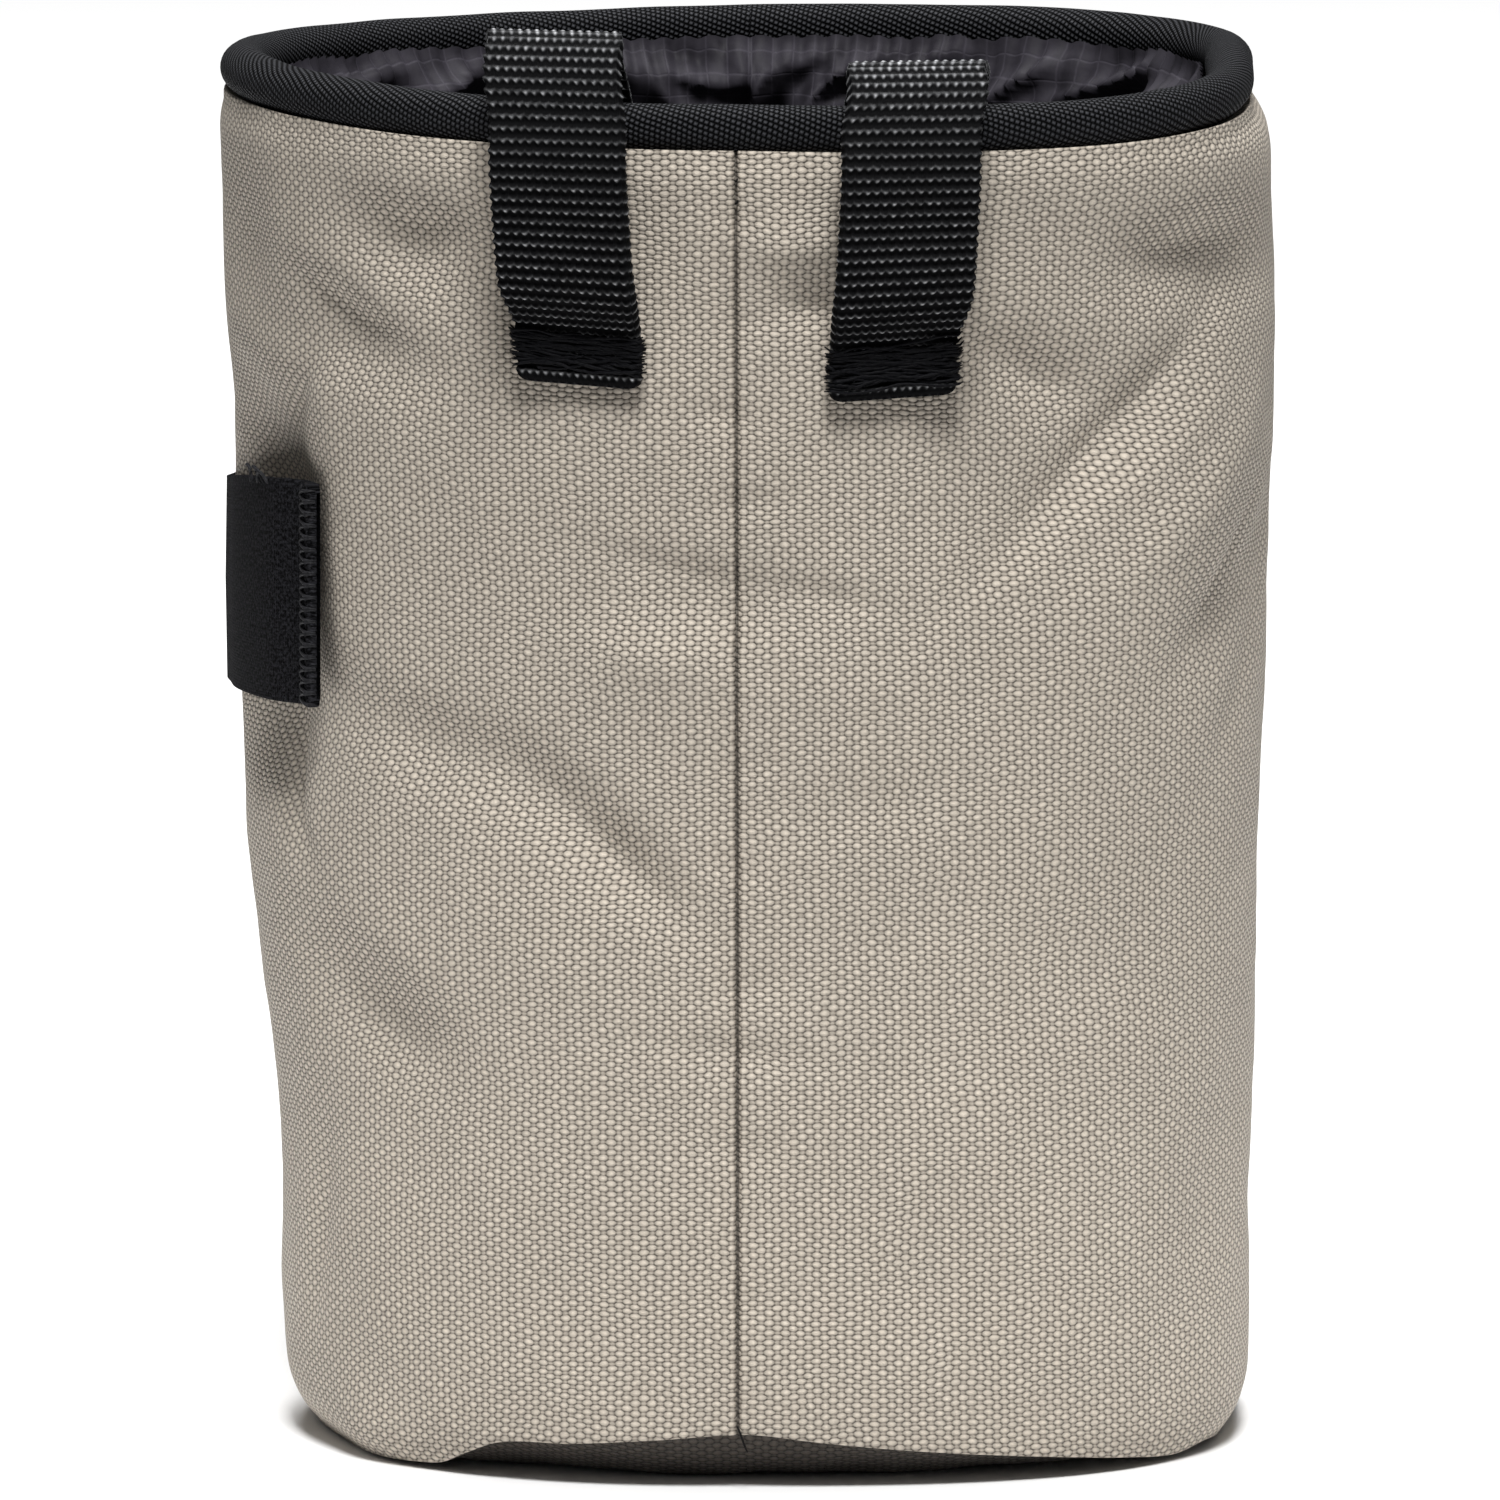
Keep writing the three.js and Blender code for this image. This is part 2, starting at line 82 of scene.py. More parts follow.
BRUSH_HOLLOW = 6.6
BRUSH_HOLLOW_AROUND = -70.5
SEAM_AROUND = -1.6
TUCK_HEIGHT = 8.0
CUFF_SWELL = 0.9
CUFF_HEIGHT = 5.0
WEBBING_POINT_PITCH = 1.03
WEBBING_CORNER = 1.6
ELASTIC_CORNER = 1.1
ELASTIC_FOLD = 0.9
ELASTIC_SINK = 3.4
ELASTIC_NARROWING = 0.09

# Distances from the axis at which the cloth's own millimetres are laid out
SEAM_RADIUS = 58.0
BINDING_RADIUS = 60.0
LINING_RADIUS = 58.0

# The weaves: a yarn's pitch up the wall as a share of its pitch across, the twill's slant in
# degrees, and pitches in millimetres
YARN_SQUASH = 0.62
TWILL_SLANT = 24.0
TWILL_ROW = 0.66
TWILL_BEAD = 0.62
RIPSTOP_ACROSS = 2.6
RIPSTOP_UP = 2.4
ELASTIC_RIB = 0.42
ELASTIC_STITCH = 0.36

# The stage, in metres and degrees, with the lens in millimetres for a metre of distance
FLOOR_MIDDLE = (0, 1.09, -0.0001)
FLOOR_SCALE = (0.56, 2.62, 1)
KEY_PLACE = (0.08, -1.2, 2.0)
BACKDROP_PLACE = (0.0, 1.0, 2.0)
LIGHT_TARGET = (0, 0, 0.08)
CAMERA_TARGET = (0, 0, 0.0794)
CAMERA_TILT = 7.4
LENS_PER_METRE = 204.0

# Share of the height, left, right, front, back, squareness at the left and at the right
WALL_SECTIONS = (
    (0.0, 0.847, 0.925, 0.86, 0.86, 2.05, 2.6),
    (0.02, 0.872, 0.945, 0.888, 0.888, 2.05, 2.55),
    (0.053, 0.889, 0.956, 0.905, 0.905, 2.05, 2.5),
    (0.165, 0.896, 0.955, 0.915, 0.912, 2.1, 2.45),
    (0.241, 0.901, 0.962, 0.922, 0.918, 2.1, 2.4),
    (0.316, 0.924, 0.966, 0.93, 0.926, 2.1, 2.4),
    (0.467, 0.966, 0.972, 0.95, 0.945, 2.1, 2.4),
    (0.618, 0.985, 0.989, 0.972, 0.966, 2.1, 2.5),
    (0.768, 0.992, 0.999, 0.988, 0.985, 2.1, 2.6),
    (0.92, 1.004, 0.995, 1.0, 1.0, 2.05, 2.7),
    (0.975, 1.002, 0.977, 1.006, 1.004, 2.05, 2.8),
    (1.0, 0.985, 0.934, 0.99, 0.99, 2.05, 2.8),
)

# Degrees round from the seam side, share of the hem's rise
HEM_HEIGHTS = (
    (-180, 0.8),
    (-150, 0.6),
    (-115, 0.15),
    (-85, 0.06),
    (-60, 0.03),
    (-47, 0.07),
    (-42, 0.14),
    (-37, 0.42),
    (-32, 0.68),
    (-22, 0.76),
    (-12, 0.88),
    (0, 1.0),
    (9, 0.84),
    (19, 0.67),
    (37, 0.4),
    (50, 0.18),
    (57, 0.08),
    (65, 0.16),
    (75, 0.05),
    (110, 0.55),
    (145, 0.9),
    (180, 0.8),
)

# Degrees round from the seam side, share of the mouth's dip
MOUTH_HEIGHTS = (
    (-180, 0.92),
    (-160, 1.1),
    (-135, 1.0),
    (-105, 0.5),
    (-85, 0.1),
    (-60, 0.2),
    (-30, 0.55),
    (0, 0.76),
    (14, 0.87),
    (28, 0.92),
    (40, 0.89),
    (55, 0.66),
    (68, 0.45),
    (85, 0.05),
    (116, 0.62),
    (145, 0.78),
    (180, 0.92),
)

# Large folds: degrees round, share of the height, half length and half width as shares of
# the height, depth as a share of the deepest, and slope in degrees
FOLDS = (
    (-39, 0.545, 0.11, 0.032, 0.75, -13),
    (-17, 0.475, 0.09, 0.032, 0.8, -38),
    (-3.5, 0.66, 0.08, 0.022, 0.4, -8),
    (13, 0.51, 0.09, 0.024, 0.3, 6),
    (43.5, 0.735, 0.13, 0.032, 0.85, 35),
    (53, 0.69, 0.13, 0.034, -0.55, 31),
    (66, 0.65, 0.1, 0.03, 0.5, 28),
    (56, 0.893, 0.11, 0.032, 0.8, -3),
    (-39, 0.912, 0.06, 0.028, 0.7, -9),
    (-50, 0.835, 0.1, 0.028, 0.7, -8),
    (-72, 0.9, 0.05, 0.035, 0.4, 0),
    (-46, 0.34, 0.09, 0.032, 0.5, -27),
    (33, 0.365, 0.13, 0.055, 0.35, 18),
    (-128, 0.42, 0.14, 0.04, 0.5, 24),
    (118, 0.58, 0.15, 0.045, 0.5, -22),
    (168, 0.7, 0.14, 0.04, 0.4, 12),
    (-160, 0.25, 0.13, 0.045, 0.35, -18),
)

# Creases and dents that are too fine for the solid, in the same columns
CREASES = (
    (-8, 0.685, 0.07, 0.014, 0.3, -12),
    (-10, 0.61, 0.07, 0.035, -0.5, -8),
    (9, 0.665, 0.05, 0.014, 0.3, -14),
    (8, 0.6, 0.05, 0.03, -0.25, -8),
    (43.5, 0.735, 0.13, 0.032, -0.95, 35),
    (53, 0.69, 0.13, 0.034, 0.6, 31),
    (42.5, 0.78, 0.12, 0.028, 1.0, 42),
    (36, 0.8, 0.11, 0.07, 0.7, 42),
    (52, 0.715, 0.12, 0.05, -0.7, 42),
    (61, 0.67, 0.08, 0.022, 0.4, 45),
    (52, 0.912, 0.065, 0.024, 0.45, 2),
    (31, 0.83, 0.06, 0.03, 0.95, -24),
    (-37, 0.932, 0.05, 0.02, 0.35, -8),
    (-51, 0.866, 0.06, 0.022, 0.7, -18),
    (-49, 0.33, 0.09, 0.045, 0.5, -30),
    (-64, 0.17, 0.07, 0.025, 0.4, 75),
    (-1.5, 0.325, 0.07, 0.013, 0.3, -6),
    (20, 0.42, 0.1, 0.05, 0.25, 20),
    (-25, 0.4, 0.08, 0.05, -0.3, -30),
    (-15, 0.465, 0.06, 0.02, 0.35, -40),
    (-8, 0.62, 0.06, 0.018, -0.25, -6),
    (-54, 0.015, 0.07, 0.03, -0.6, 0),
    (7.5, 0.878, 0.03, 0.018, 0.6, -8),
    (5, 0.925, 0.035, 0.022, -0.5, 0),
    (-1, 0.93, 0.07, 0.05, -0.35, 0),
    (70, 0.6, 0.12, 0.03, 0.4, 50),
    (-66, 0.5, 0.06, 0.02, 0.6, -50),
    (-62, 0.79, 0.04, 0.02, 0.6, 35),
    (62, 0.2, 0.14, 0.05, 0.25, 60),
    (-31, 0.64, 0.15, 0.15, 0.7, 0),
    (27, 0.72, 0.11, 0.11, 0.6, 0),
)

# Puckers along the seam, in the same columns
PUCKERS = (
    (-1, 0.945, 0.02, 0.008, 0.12, 0),
    (0.5, 0.87, 0.022, 0.009, 0.2, 6),
    (-3, 0.8, 0.03, 0.01, 0.25, -10),
    (0, 0.735, 0.03, 0.011, 0.25, 5),
    (2, 0.61, 0.04, 0.011, 0.22, -8),
    (1, 0.54, 0.025, 0.01, 0.2, 8),
    (-2, 0.465, 0.03, 0.011, 0.2, -12),
    (0, 0.375, 0.04, 0.013, 0.25, 3),
    (-1, 0.255, 0.035, 0.012, 0.2, -5),
    (0.5, 0.14, 0.025, 0.011, 0.15, 4),
)

# Degrees round, depth, and half width in degrees of the tuck at each lower corner
CORNER_TUCKS = ((-72, 2.2, 26), (80, 1.5, 26))

# Places across the seam of the wall's extra columns
SEAM_COLUMNS = (
    (-2.4, -1.8, -1.4, -1.1, -0.85, -0.6, -0.4, -0.22)
    + (-0.1, 0, 0.1, 0.22, 0.4, 0.7, 1.1, 1.6)
)

# Inset and lift of the rows that turn the wall's edges in, at the hem and at the top
HEM_TURN = ((2.6, 1.9), (1.9, 0.9), (1.2, 0.3), (0.6, 0.05), (0.2, 0.12))
TOP_TURN = ((0.0, 0.5), (0.1, 0.9), (0.5, 0.75), (1.1, 0.48), (1.8, 0.28), (2.6, 0.05))

# Name, degrees round, rise above the binding, drop to the sewn end
BELT_LOOPS = (
    ("belt_loop_left", -18.3, 10.2, 29.8),
    ("belt_loop_right", 15.2, 7.3, 30.8),
)

# Share of the stand-off, and share of the drop (below 0) or of the rise (above 0)
LOOP_ROUTE = (
    (0.62, -0.6),
    (0.88, -0.32),
    (1.0, -0.08),
    (0.88, 0.42),
    (0.53, 0.86),
    (0.12, 1.0),
    (-0.26, 0.82),
    (-0.6, 0.42),
)

# Distance from the front end, lean and rise of each loose thread end on the brush loop
LOOSE_ENDS = (
    (11.0, -2.2, 0.7),
    (12.2, -2.0, 1.0),
    (13.5, -1.6, 1.3),
    (14.4, 1.8, 0.8),
    (16.0, -1.6, 1.5),
    (17.0, 1.2, 1.0),
)


def smooth_curve(rows, at):
    """The values of a table's smooth curves at positions along its first column."""
    table = np.array(rows, float)
    positions = table[:, 0]
    at = np.clip(np.asarray(at, float), positions[0], positions[-1])
    after = np.clip(np.searchsorted(positions, at, side="right"), 1, len(positions) - 1)
    before = after - 1
    last = len(positions) - 1
    start = positions[before]
    length = positions[after] - start
    earlier = np.where(before > 0, before - 1, after)
    later = np.where(after < last, after + 1, before)
    pull_in = length / 2 / (start - positions[earlier])
    pull_out = length / 2 / (positions[later] - positions[after])
    share = (at - start) / length
    square = share**2
    cube = share**3
    weights = (
        (earlier, -pull_in * cube + 2 * pull_in * square - pull_in * share),
        (before, (1 + pull_in) * cube + (-1.5 - 2 * pull_in) * square + (pull_in - 0.5) * share + 1),
        (after, (-1 - pull_out) * cube + (1.5 + pull_out) * square + 0.5 * share),
        (later, pull_out * cube - pull_out * square),
    )
    columns = table[:, 1:].T
    return [sum(column[row] * weight for row, weight in weights) for column in columns]


def lerp(low, high, share):
    return low + (high - low) * share


def smoothstep(value, low, high):
    share = np.clip((value - low) / (high - low), 0, 1)
    return share * share * (3 - 2 * share)


def turn_between(angle, other):
    return (angle - other + 180) % 360 - 180


def soft_bump(distance, half_width):
    return np.exp(-((distance / half_width) ** 2))


def fold_depth(angle, z, folds, crease=0.0):
    """How far a table's folds press in the wall, with a narrower crease along each."""
    depth = 0.0
    for around, up, long, wide, deep, slope in folds:
        across = turn_between(angle, around) * math.radians(BODY_WIDTH / 2)
        upward = z - up * BODY_HEIGHT
        slant = math.radians(slope)
        along = across * math.cos(slant) + upward * math.sin(slant)
        beside = upward * math.cos(slant) - across * math.sin(slant)
        half = wide * BODY_HEIGHT
        shape = soft_bump(beside, half) + crease * soft_bump(beside, half * 0.4)
        depth = depth + deep * FOLD_DEPTH * shape * soft_bump(along, long * BODY_HEIGHT)
    return depth


def crease_depth(angle, z):
    """How far the cloth's own creases and puckers press in beyond the solid's folds."""
    creases = fold_depth(angle, z, CREASES, 0.25) + fold_depth(angle, z, PUCKERS)
    return creases + 0.4 * fold_depth(angle, z, FOLDS)


def brush_hollow(angle, z):
    """How far the elastic's pull hollows the wall behind the brush loop."""
    beside = soft_bump(turn_between(angle, BRUSH_HOLLOW_AROUND), BRUSH_LOOP_SPAN * 0.235)
    upward = ((z - ELASTIC_MIDDLE) / (ELASTIC_HEIGHT * 0.85)) ** 2
    return BRUSH_HOLLOW * beside * soft_bump(upward, 1)


def full_radius(angle, z):
    """Distance from the axis to the wall before it is folded."""
    share = np.clip(z / BODY_HEIGHT, 0, 1)
    left, right, front, back, square_left, square_right = smooth_curve(WALL_SECTIONS, share)
    sine = np.sin(np.radians(angle))
    cosine = np.cos(np.radians(angle))
    side = np.where(sine < 0, left, right) * BODY_WIDTH / 2
    depth = np.where(cosine > 0, front, back) * BODY_DEPTH / 2
    square = lerp(square_left, square_right, (1 + sine) / 2)
    total = np.abs(sine / side) ** square + np.abs(cosine / depth) ** square
    return total ** (-1 / square)


def wall_radius(angle, z):
    return full_radius(angle, z) - fold_depth(angle, z, FOLDS) - brush_hollow(angle, z)


def hem_height(angle):
    share = smooth_curve(HEM_HEIGHTS, turn_between(angle, 0))[0]
    return HEM_RISE * np.maximum(0.03, share)


def top_height(angle):
    return BODY_HEIGHT - MOUTH_DIP * smooth_curve(MOUTH_HEIGHTS, turn_between(angle, 0))[0]


def binding_middle(angle):
    top = top_height(angle)
    return wall_radius(angle, top) - BINDING_OVERHANG, top + BINDING_DIAMETER / 2 + CLEARANCE


def around(angle, radius, z):
    """Points at a distance from the axis: 0 degrees is the seam side, and 90 the right."""
    turn = np.radians(angle)
    return np.stack(np.broadcast_arrays(radius * np.sin(turn), -radius * np.cos(turn), z), axis=-1)


def turned_angles(count, bias=0.35, extra=()):
    """Angles round the bag in degrees, closer together on the seam side."""
    even = np.arange(count) * 2 * math.pi / count - math.pi
    angles = np.degrees(even - bias * np.sin(even))
    return np.unique(np.concatenate([angles, extra]))


def put_in_scene(name, data):
    shape = bpy.data.objects.new(name, data)
    bpy.context.scene.collection.objects.link(shape)
    return shape


def cell_corners(grid):
    return grid[:-1, :-1], grid[:-1, 1:], grid[1:, 1:], grid[1:, :-1]


def grid_mesh(name, points, uv, girth=0.0):
    """A mesh over rows of points that close on themselves, given with millimetres of cloth."""
    rows, columns = points.shape[:2]
    index = np.arange(rows * columns).reshape(rows, columns)
    index = np.concatenate([index, index[:, :1]], axis=1)
    closing = uv[:, :1].copy()
    closing[..., 0] += girth
    uv = np.concatenate([uv, closing], axis=1)
    faces = np.stack(cell_corners(index), axis=-1).reshape(-1, 4)
    corner = np.stack(cell_corners(uv), axis=-2).reshape(-1, 2)
    mesh = bpy.data.meshes.new(name)
    mesh.vertices.add(rows * columns)
    mesh.vertices.foreach_set("co", (points.reshape(-1) * MM).astype(np.float32))
    mesh.loops.add(faces.size)
    mesh.loops.foreach_set("vertex_index", faces.reshape(-1).astype(np.int32))
    mesh.polygons.add(len(faces))
    mesh.polygons.foreach_set("loop_start", np.arange(0, faces.size, 4, dtype=np.int32))
    mesh.polygons.foreach_set("use_smooth", np.full(len(faces), True))
    layer = mesh.uv_layers.new(name="cloth")
    layer.data.foreach_set("uv", (corner.reshape(-1) * MM).astype(np.float32))
    mesh.update(calc_edges=True)
    mesh.validate()
    return put_in_scene(name, mesh)


def dress(shape, finish, slot, *nodes):
    """Gives a piece its material and its place in the frame."""
    shape.data.materials.append(finish)
    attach(shape, "root")
    if nodes:
        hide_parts(*nodes)
    return shape


def ripple(points, scale, seed):
    """Smooth noise from -1 to 1 at each of many points in millimetres."""
    flat = points.reshape(-1, 3) / scale + seed * 7.3
    values = [noise.noise(Vector(point)) for point in flat]
    return np.array(values).reshape(points.shape[:-1])


def unit_rows(rows):
    return rows / np.linalg.norm(rows, axis=1, keepdims=True)


def flat_normals(line):
    """Directions square to a line in its plane, at each of its points."""
    tangents = unit_rows(np.gradient(line, axis=0))
    return np.stack([tangents[:, 1], -tangents[:, 0]], axis=1)


def thread_mesh(name, paths, radius, sides=6):
    """One mesh of round threads, each along a path of points in millimetres."""
    vertices = []
    faces = []
    for path in paths:
        path = np.asarray(path, float)
        tangents = unit_rows(np.gradient(path, axis=0))
        helper = np.array([0.31, 0.17, 0.93])
        side = unit_rows(np.cross(tangents, helper))
        other = np.cross(tangents, side)
        first = len(vertices)
        taper = np.ones(len(path))
        taper[[0, -1]] = 0.45
        for point, one, two, thin in zip(path, side, other, taper):
            for step in range(sides):
                turn = 2 * math.pi * step / sides
                offset = (one * math.cos(turn) + two * math.sin(turn)) * radius * thin
                vertices.append((point + offset) * MM)
        for ring in range(len(path) - 1):
            for step in range(sides):
                low = first + ring * sides
                near = (step + 1) % sides
                faces.append((low + step, low + near, low + sides + near, low + sides + step))
        faces.append(tuple(first + step for step in reversed(range(sides))))
        faces.append(tuple(first + (len(path) - 1) * sides + step for step in range(sides)))
    mesh = bpy.data.meshes.new(name)
    mesh.from_pydata([tuple(vertex) for vertex in vertices], [], faces)
    mesh.polygons.foreach_set("use_smooth", np.full(len(faces), True))
    mesh.update()
    return put_in_scene(name, mesh)


def linear(red, green, blue):
    """A colour given as 0 to 255 screen values, as Blender's linear ones with alpha."""
    values = [channel / 255 for channel in (red, green, blue)]
    return tuple(v / 12.92 if v <= 0.04045 else ((v + 0.055) / 1.055) ** 2.4 for v in values) + (1.0,)


class Signal:
    """A node's output, with arithmetic that adds Math nodes."""

    def __init__(self, finish, socket):
        self.finish = finish
        self.socket = socket

    def maths(self, operation, *others):
        return self.finish.add("ShaderNodeMath", {"operation": operation}, [self, *others])

    def clamped(self):
        return self.maths("MINIMUM", 1.0).maths("MAXIMUM", 0.0)

    def __add__(self, other):
        return self.maths("ADD", other)

    __radd__ = __add__

    def __mul__(self, other):
        return self.maths("MULTIPLY", other)

    __rmul__ = __mul__

    def __sub__(self, other):
        return self.maths("SUBTRACT", other)

    def __rsub__(self, other):
        return self.finish.add("ShaderNodeMath", {"operation": "SUBTRACT"}, [other, self])

    def __truediv__(self, other):
        return self.maths("DIVIDE", other)

    def __pow__(self, other):
        return self.maths("POWER", other)

    def __abs__(self):
        return self.maths("ABSOLUTE")


class Finish:
    """A material and the nodes that are added to it."""

    def __init__(self, name, **sockets):
        self.material = bpy.data.materials.new(name)
        self.material.use_nodes = True
        self.tree = self.material.node_tree
        self.surface = self.tree.nodes["Principled BSDF"]
        for socket, value in sockets.items():
            self.surface.inputs[socket.replace("_", " ")].default_value = value

    def add(self, kind, settings, inputs, output=0):
        node = self.tree.nodes.new(kind)
        for name, value in settings.items():
            if name == "stops":
                ramp = node.color_ramp.elements
                while len(ramp) < len(value):
                    ramp.new(0.5)
                for element, (position, colour) in zip(ramp, value):
                    element.position = position
                    element.color = colour
            else:
                setattr(node, name, value)
        pairs = inputs.items() if isinstance(inputs, dict) else enumerate(inputs)
        for key, value in pairs:
            if isinstance(value, Signal):
                self.tree.links.new(value.socket, node.inputs[key])
            else:
                node.inputs[key].default_value = value
        return Signal(self, node.outputs[output])

    def feed(self, socket, signal):
        self.tree.links.new(signal.socket, self.surface.inputs[socket])

    def cloth(self):
        """Millimetres across and along the cloth, from its UV."""
        place = self.add("ShaderNodeUVMap", {"uv_map": "cloth"}, [])
        scaled = self.add("ShaderNodeVectorMath", {"operation": "SCALE"}, {0: place, "Scale": 1000.0})
        split = self.add("ShaderNodeSeparateXYZ", {}, [scaled])
        return scaled, split, Signal(self, split.socket.node.outputs[1])

    def grain(self, place, scale, detail=2.0, roughness=0.5):
        """Noise from 0 to 1, with a scale in lumps to the millimetre."""
        settings = {"noise_dimensions": "3D"}
        inputs = {"Vector": place, "Scale": scale, "Detail": detail, "Roughness": roughness}
        return self.add("ShaderNodeTexNoise", settings, inputs)

    def strands(self, place, across, along):
        """Noise drawn out into fibres, with a scale each way in lumps to the millimetre."""
        stretched = self.add("ShaderNodeMapping", {}, {0: place, 3: (across, along, 1.0)})
        return self.grain(stretched, 1.0, 2.0)

    def mix(self, factor, first, second):
        return self.add("ShaderNodeMix", {"data_type": "RGBA"}, {0: factor, 6: first, 7: second}, 2)

    def relief(self, height, distance, strength=1.0):
        """Bumps of a height in millimetres."""
        inputs = {"Height": height, "Distance": distance * MM, "Strength": strength}
        self.feed("Normal", self.add("ShaderNodeBump", {}, inputs))


def cosine(signal, pitch):
    """A wave of 1 at whole multiples of a pitch and -1 halfway between."""
    return (signal * (2 * math.pi / pitch)).maths("COSINE")


def nearest_float(across, up, repeat_across, repeat_up, half_wide, half_tall):
    """Distance from the nearest float of a staggered weave, which is 1 at the float's rim."""
    distances = []
    for shift in (0.0, 0.5):
        beside = ((across / repeat_across + shift).maths("FRACT") - 0.5) * (repeat_across / half_wide)
        above = ((up / repeat_up + shift).maths("FRACT") - 0.5) * (repeat_up / half_tall)
        distances.append((beside * beside + above * above).maths("SQRT"))
    return distances[0].maths("MINIMUM", distances[1])


def woven_cloth(name, thread, gap, pitch_across, seam=False):
    """Heavy plain weave: domed floats in staggered rows and smaller yarns between them, with painted
    highlights on the floats and painted shade between and under them.
    """
    finish = Finish(name, Roughness=0.6, Sheen_Weight=0.05, Sheen_Roughness=0.5, Specular_IOR_Level=0.3)
    place, across, up = finish.cloth()
    left = across.maths("LESS_THAN", 0.0)
    from_seam = across
    across = across + (finish.grain(place, 0.16, 1.0) - 0.5) * 0.7
    across = across + (finish.grain(place, 0.9, 1.0) - 0.5) * 0.3
    up = up + (finish.grain(place, 0.11, 1.0) - 0.5) * 1.2
    up = up + (finish.grain(place, 0.8, 1.0) - 0.5) * 0.16
    if seam:
        across = across + left * 0.5
        up = up + left * 0.38
    pitch_up = pitch_across * YARN_SQUASH
    repeat = (2 * pitch_across, 2 * pitch_up)
    rim = nearest_float(across, up, *repeat, 0.71 * pitch_across, 0.72 * pitch_up)
    below = nearest_float(across, up + 0.15, *repeat, 0.71 * pitch_across, 0.72 * pitch_up)
    between = nearest_float(across + pitch_across, up, *repeat, 0.46 * pitch_across, 0.46 * pitch_up)
    dome = (1.0 - rim * rim).maths("MAXIMUM", 0.0) ** 0.8
    bridge = (1.0 - between * between).maths("MAXIMUM", 0.0) ** 0.65
    # The crescent is painted shadow: the gap colour laid under each float, where its shade falls.
    outside = ((rim - 0.8) * 4.0).clamped()
    near_below = ((1.2 - below) * 3.4).clamped()
    shadow_crescent = outside * near_below * (1.0 - bridge)
    strands = finish.strands(place, 3.0, 12.0)
    yarn = finish.grain(place, 1.1, 2.0)
    blotch = finish.grain(place, 0.05, 3.0)
    height = dome.maths("MAXIMUM", bridge * 0.6)
    finish.relief(height + strands * 0.4 - shadow_crescent * 0.25, 0.25)
    # Painted light: each float's dome is painted lighter towards its top as a highlight, and the gap colour
    # is painted shade down between the floats and in the crescent.
    painted_light = 0.24 + (dome * 0.76).maths("MAXIMUM", bridge * 0.42)
    shaded = finish.mix(shadow_crescent * 0.8, finish.mix(painted_light, gap, thread), gap)
    tone = 0.46 + blotch * 0.16 + yarn * 0.5 + strands * 0.44
    toned = finish.add("ShaderNodeVectorMath", {"operation": "SCALE"}, {0: shaded, "Scale": tone})
    if seam:
        # Painted shade: a ragged dark line along the seam's groove, where its shadow falls.
        ragged = (finish.grain(place, 1.4, 2.0) - 0.5) * 0.25
        line = (1.0 - abs(from_seam - 0.1 + ragged * 0.6) / 0.25).maths("MAXIMUM", 0.0) ** 0.6
        toned = finish.mix((line * (0.8 + ragged)).maths("MINIMUM", 0.95), toned, (0.012, 0.01, 0.009, 1))
    finish.feed("Base Color", toned)
    finish.feed("Roughness", 0.75 - height * 0.22 + strands * 0.1)
    return finish.material


def twill_tape(name, thread, gap):
    """Binding tape with slanting rows of small beads."""
    finish = Finish(name, Roughness=0.5, Specular_IOR_Level=0.04)
    place, along, up = finish.cloth()
    wander = (finish.grain(place, 0.2, 1.0) - 0.5) * 0.5
    slant = math.radians(TWILL_SLANT)
    rows = (along * math.sin(slant) + up * math.cos(slant) + wander) / TWILL_ROW
    row = rows.maths("FLOOR")
    beads = (along * math.cos(slant) - up * math.sin(slant)) / TWILL_BEAD + row * 0.36
    across = abs(rows.maths("FRACT") * 2.0 - 1.0)
    length = abs(beads.maths("FRACT") * 2.0 - 1.0)
    height = (1.0 - across**2.0) * (1.0 - length**3.0)
    strands = finish.grain(place, 6.0, 2.0)
    finish.relief(height + strands * 0.2, 0.32)
    # Painted light: the beads' crests are painted light in the trim colour as glints, and the near-black gap
    # between them is painted shade.
    painted_light = (height * height * (0.2 + strands)).maths("MINIMUM", 1.0)
    finish.feed("Base Color", finish.mix(painted_light, gap, thread))
    finish.feed("Roughness", 0.7 - height * 0.26 + strands * 0.1)
    return finish.material


def ripstop(name, thread, dark):
    """Thin lining cloth with a faint grid of thicker yarns."""
    finish = Finish(name, Roughness=0.55, Specular_IOR_Level=0.12)
    place, across, up = finish.cloth()
    lines_across = (cosine(across, RIPSTOP_ACROSS) * 0.5 + 0.5) ** 40.0
    lines_up = (cosine(up, RIPSTOP_UP) * 0.5 + 0.5) ** 40.0
    grid = lines_across.maths("MAXIMUM", lines_up)
    crumple = finish.grain(place, 0.35, 4.0)
    finish.relief(grid * 0.25 + crumple * 0.5, 0.14)
    # Painted shade: the lining is darker where the crumple noise is low, in its hollows, and the grid yarns
    # are lighter.
    tone = (crumple * 0.9 + grid * 0.25).maths("MINIMUM", 1.0)
    finish.feed("Base Color", finish.mix(tone, dark, thread))
    finish.feed("Roughness", 0.5 + crumple * 0.2)
    return finish.material


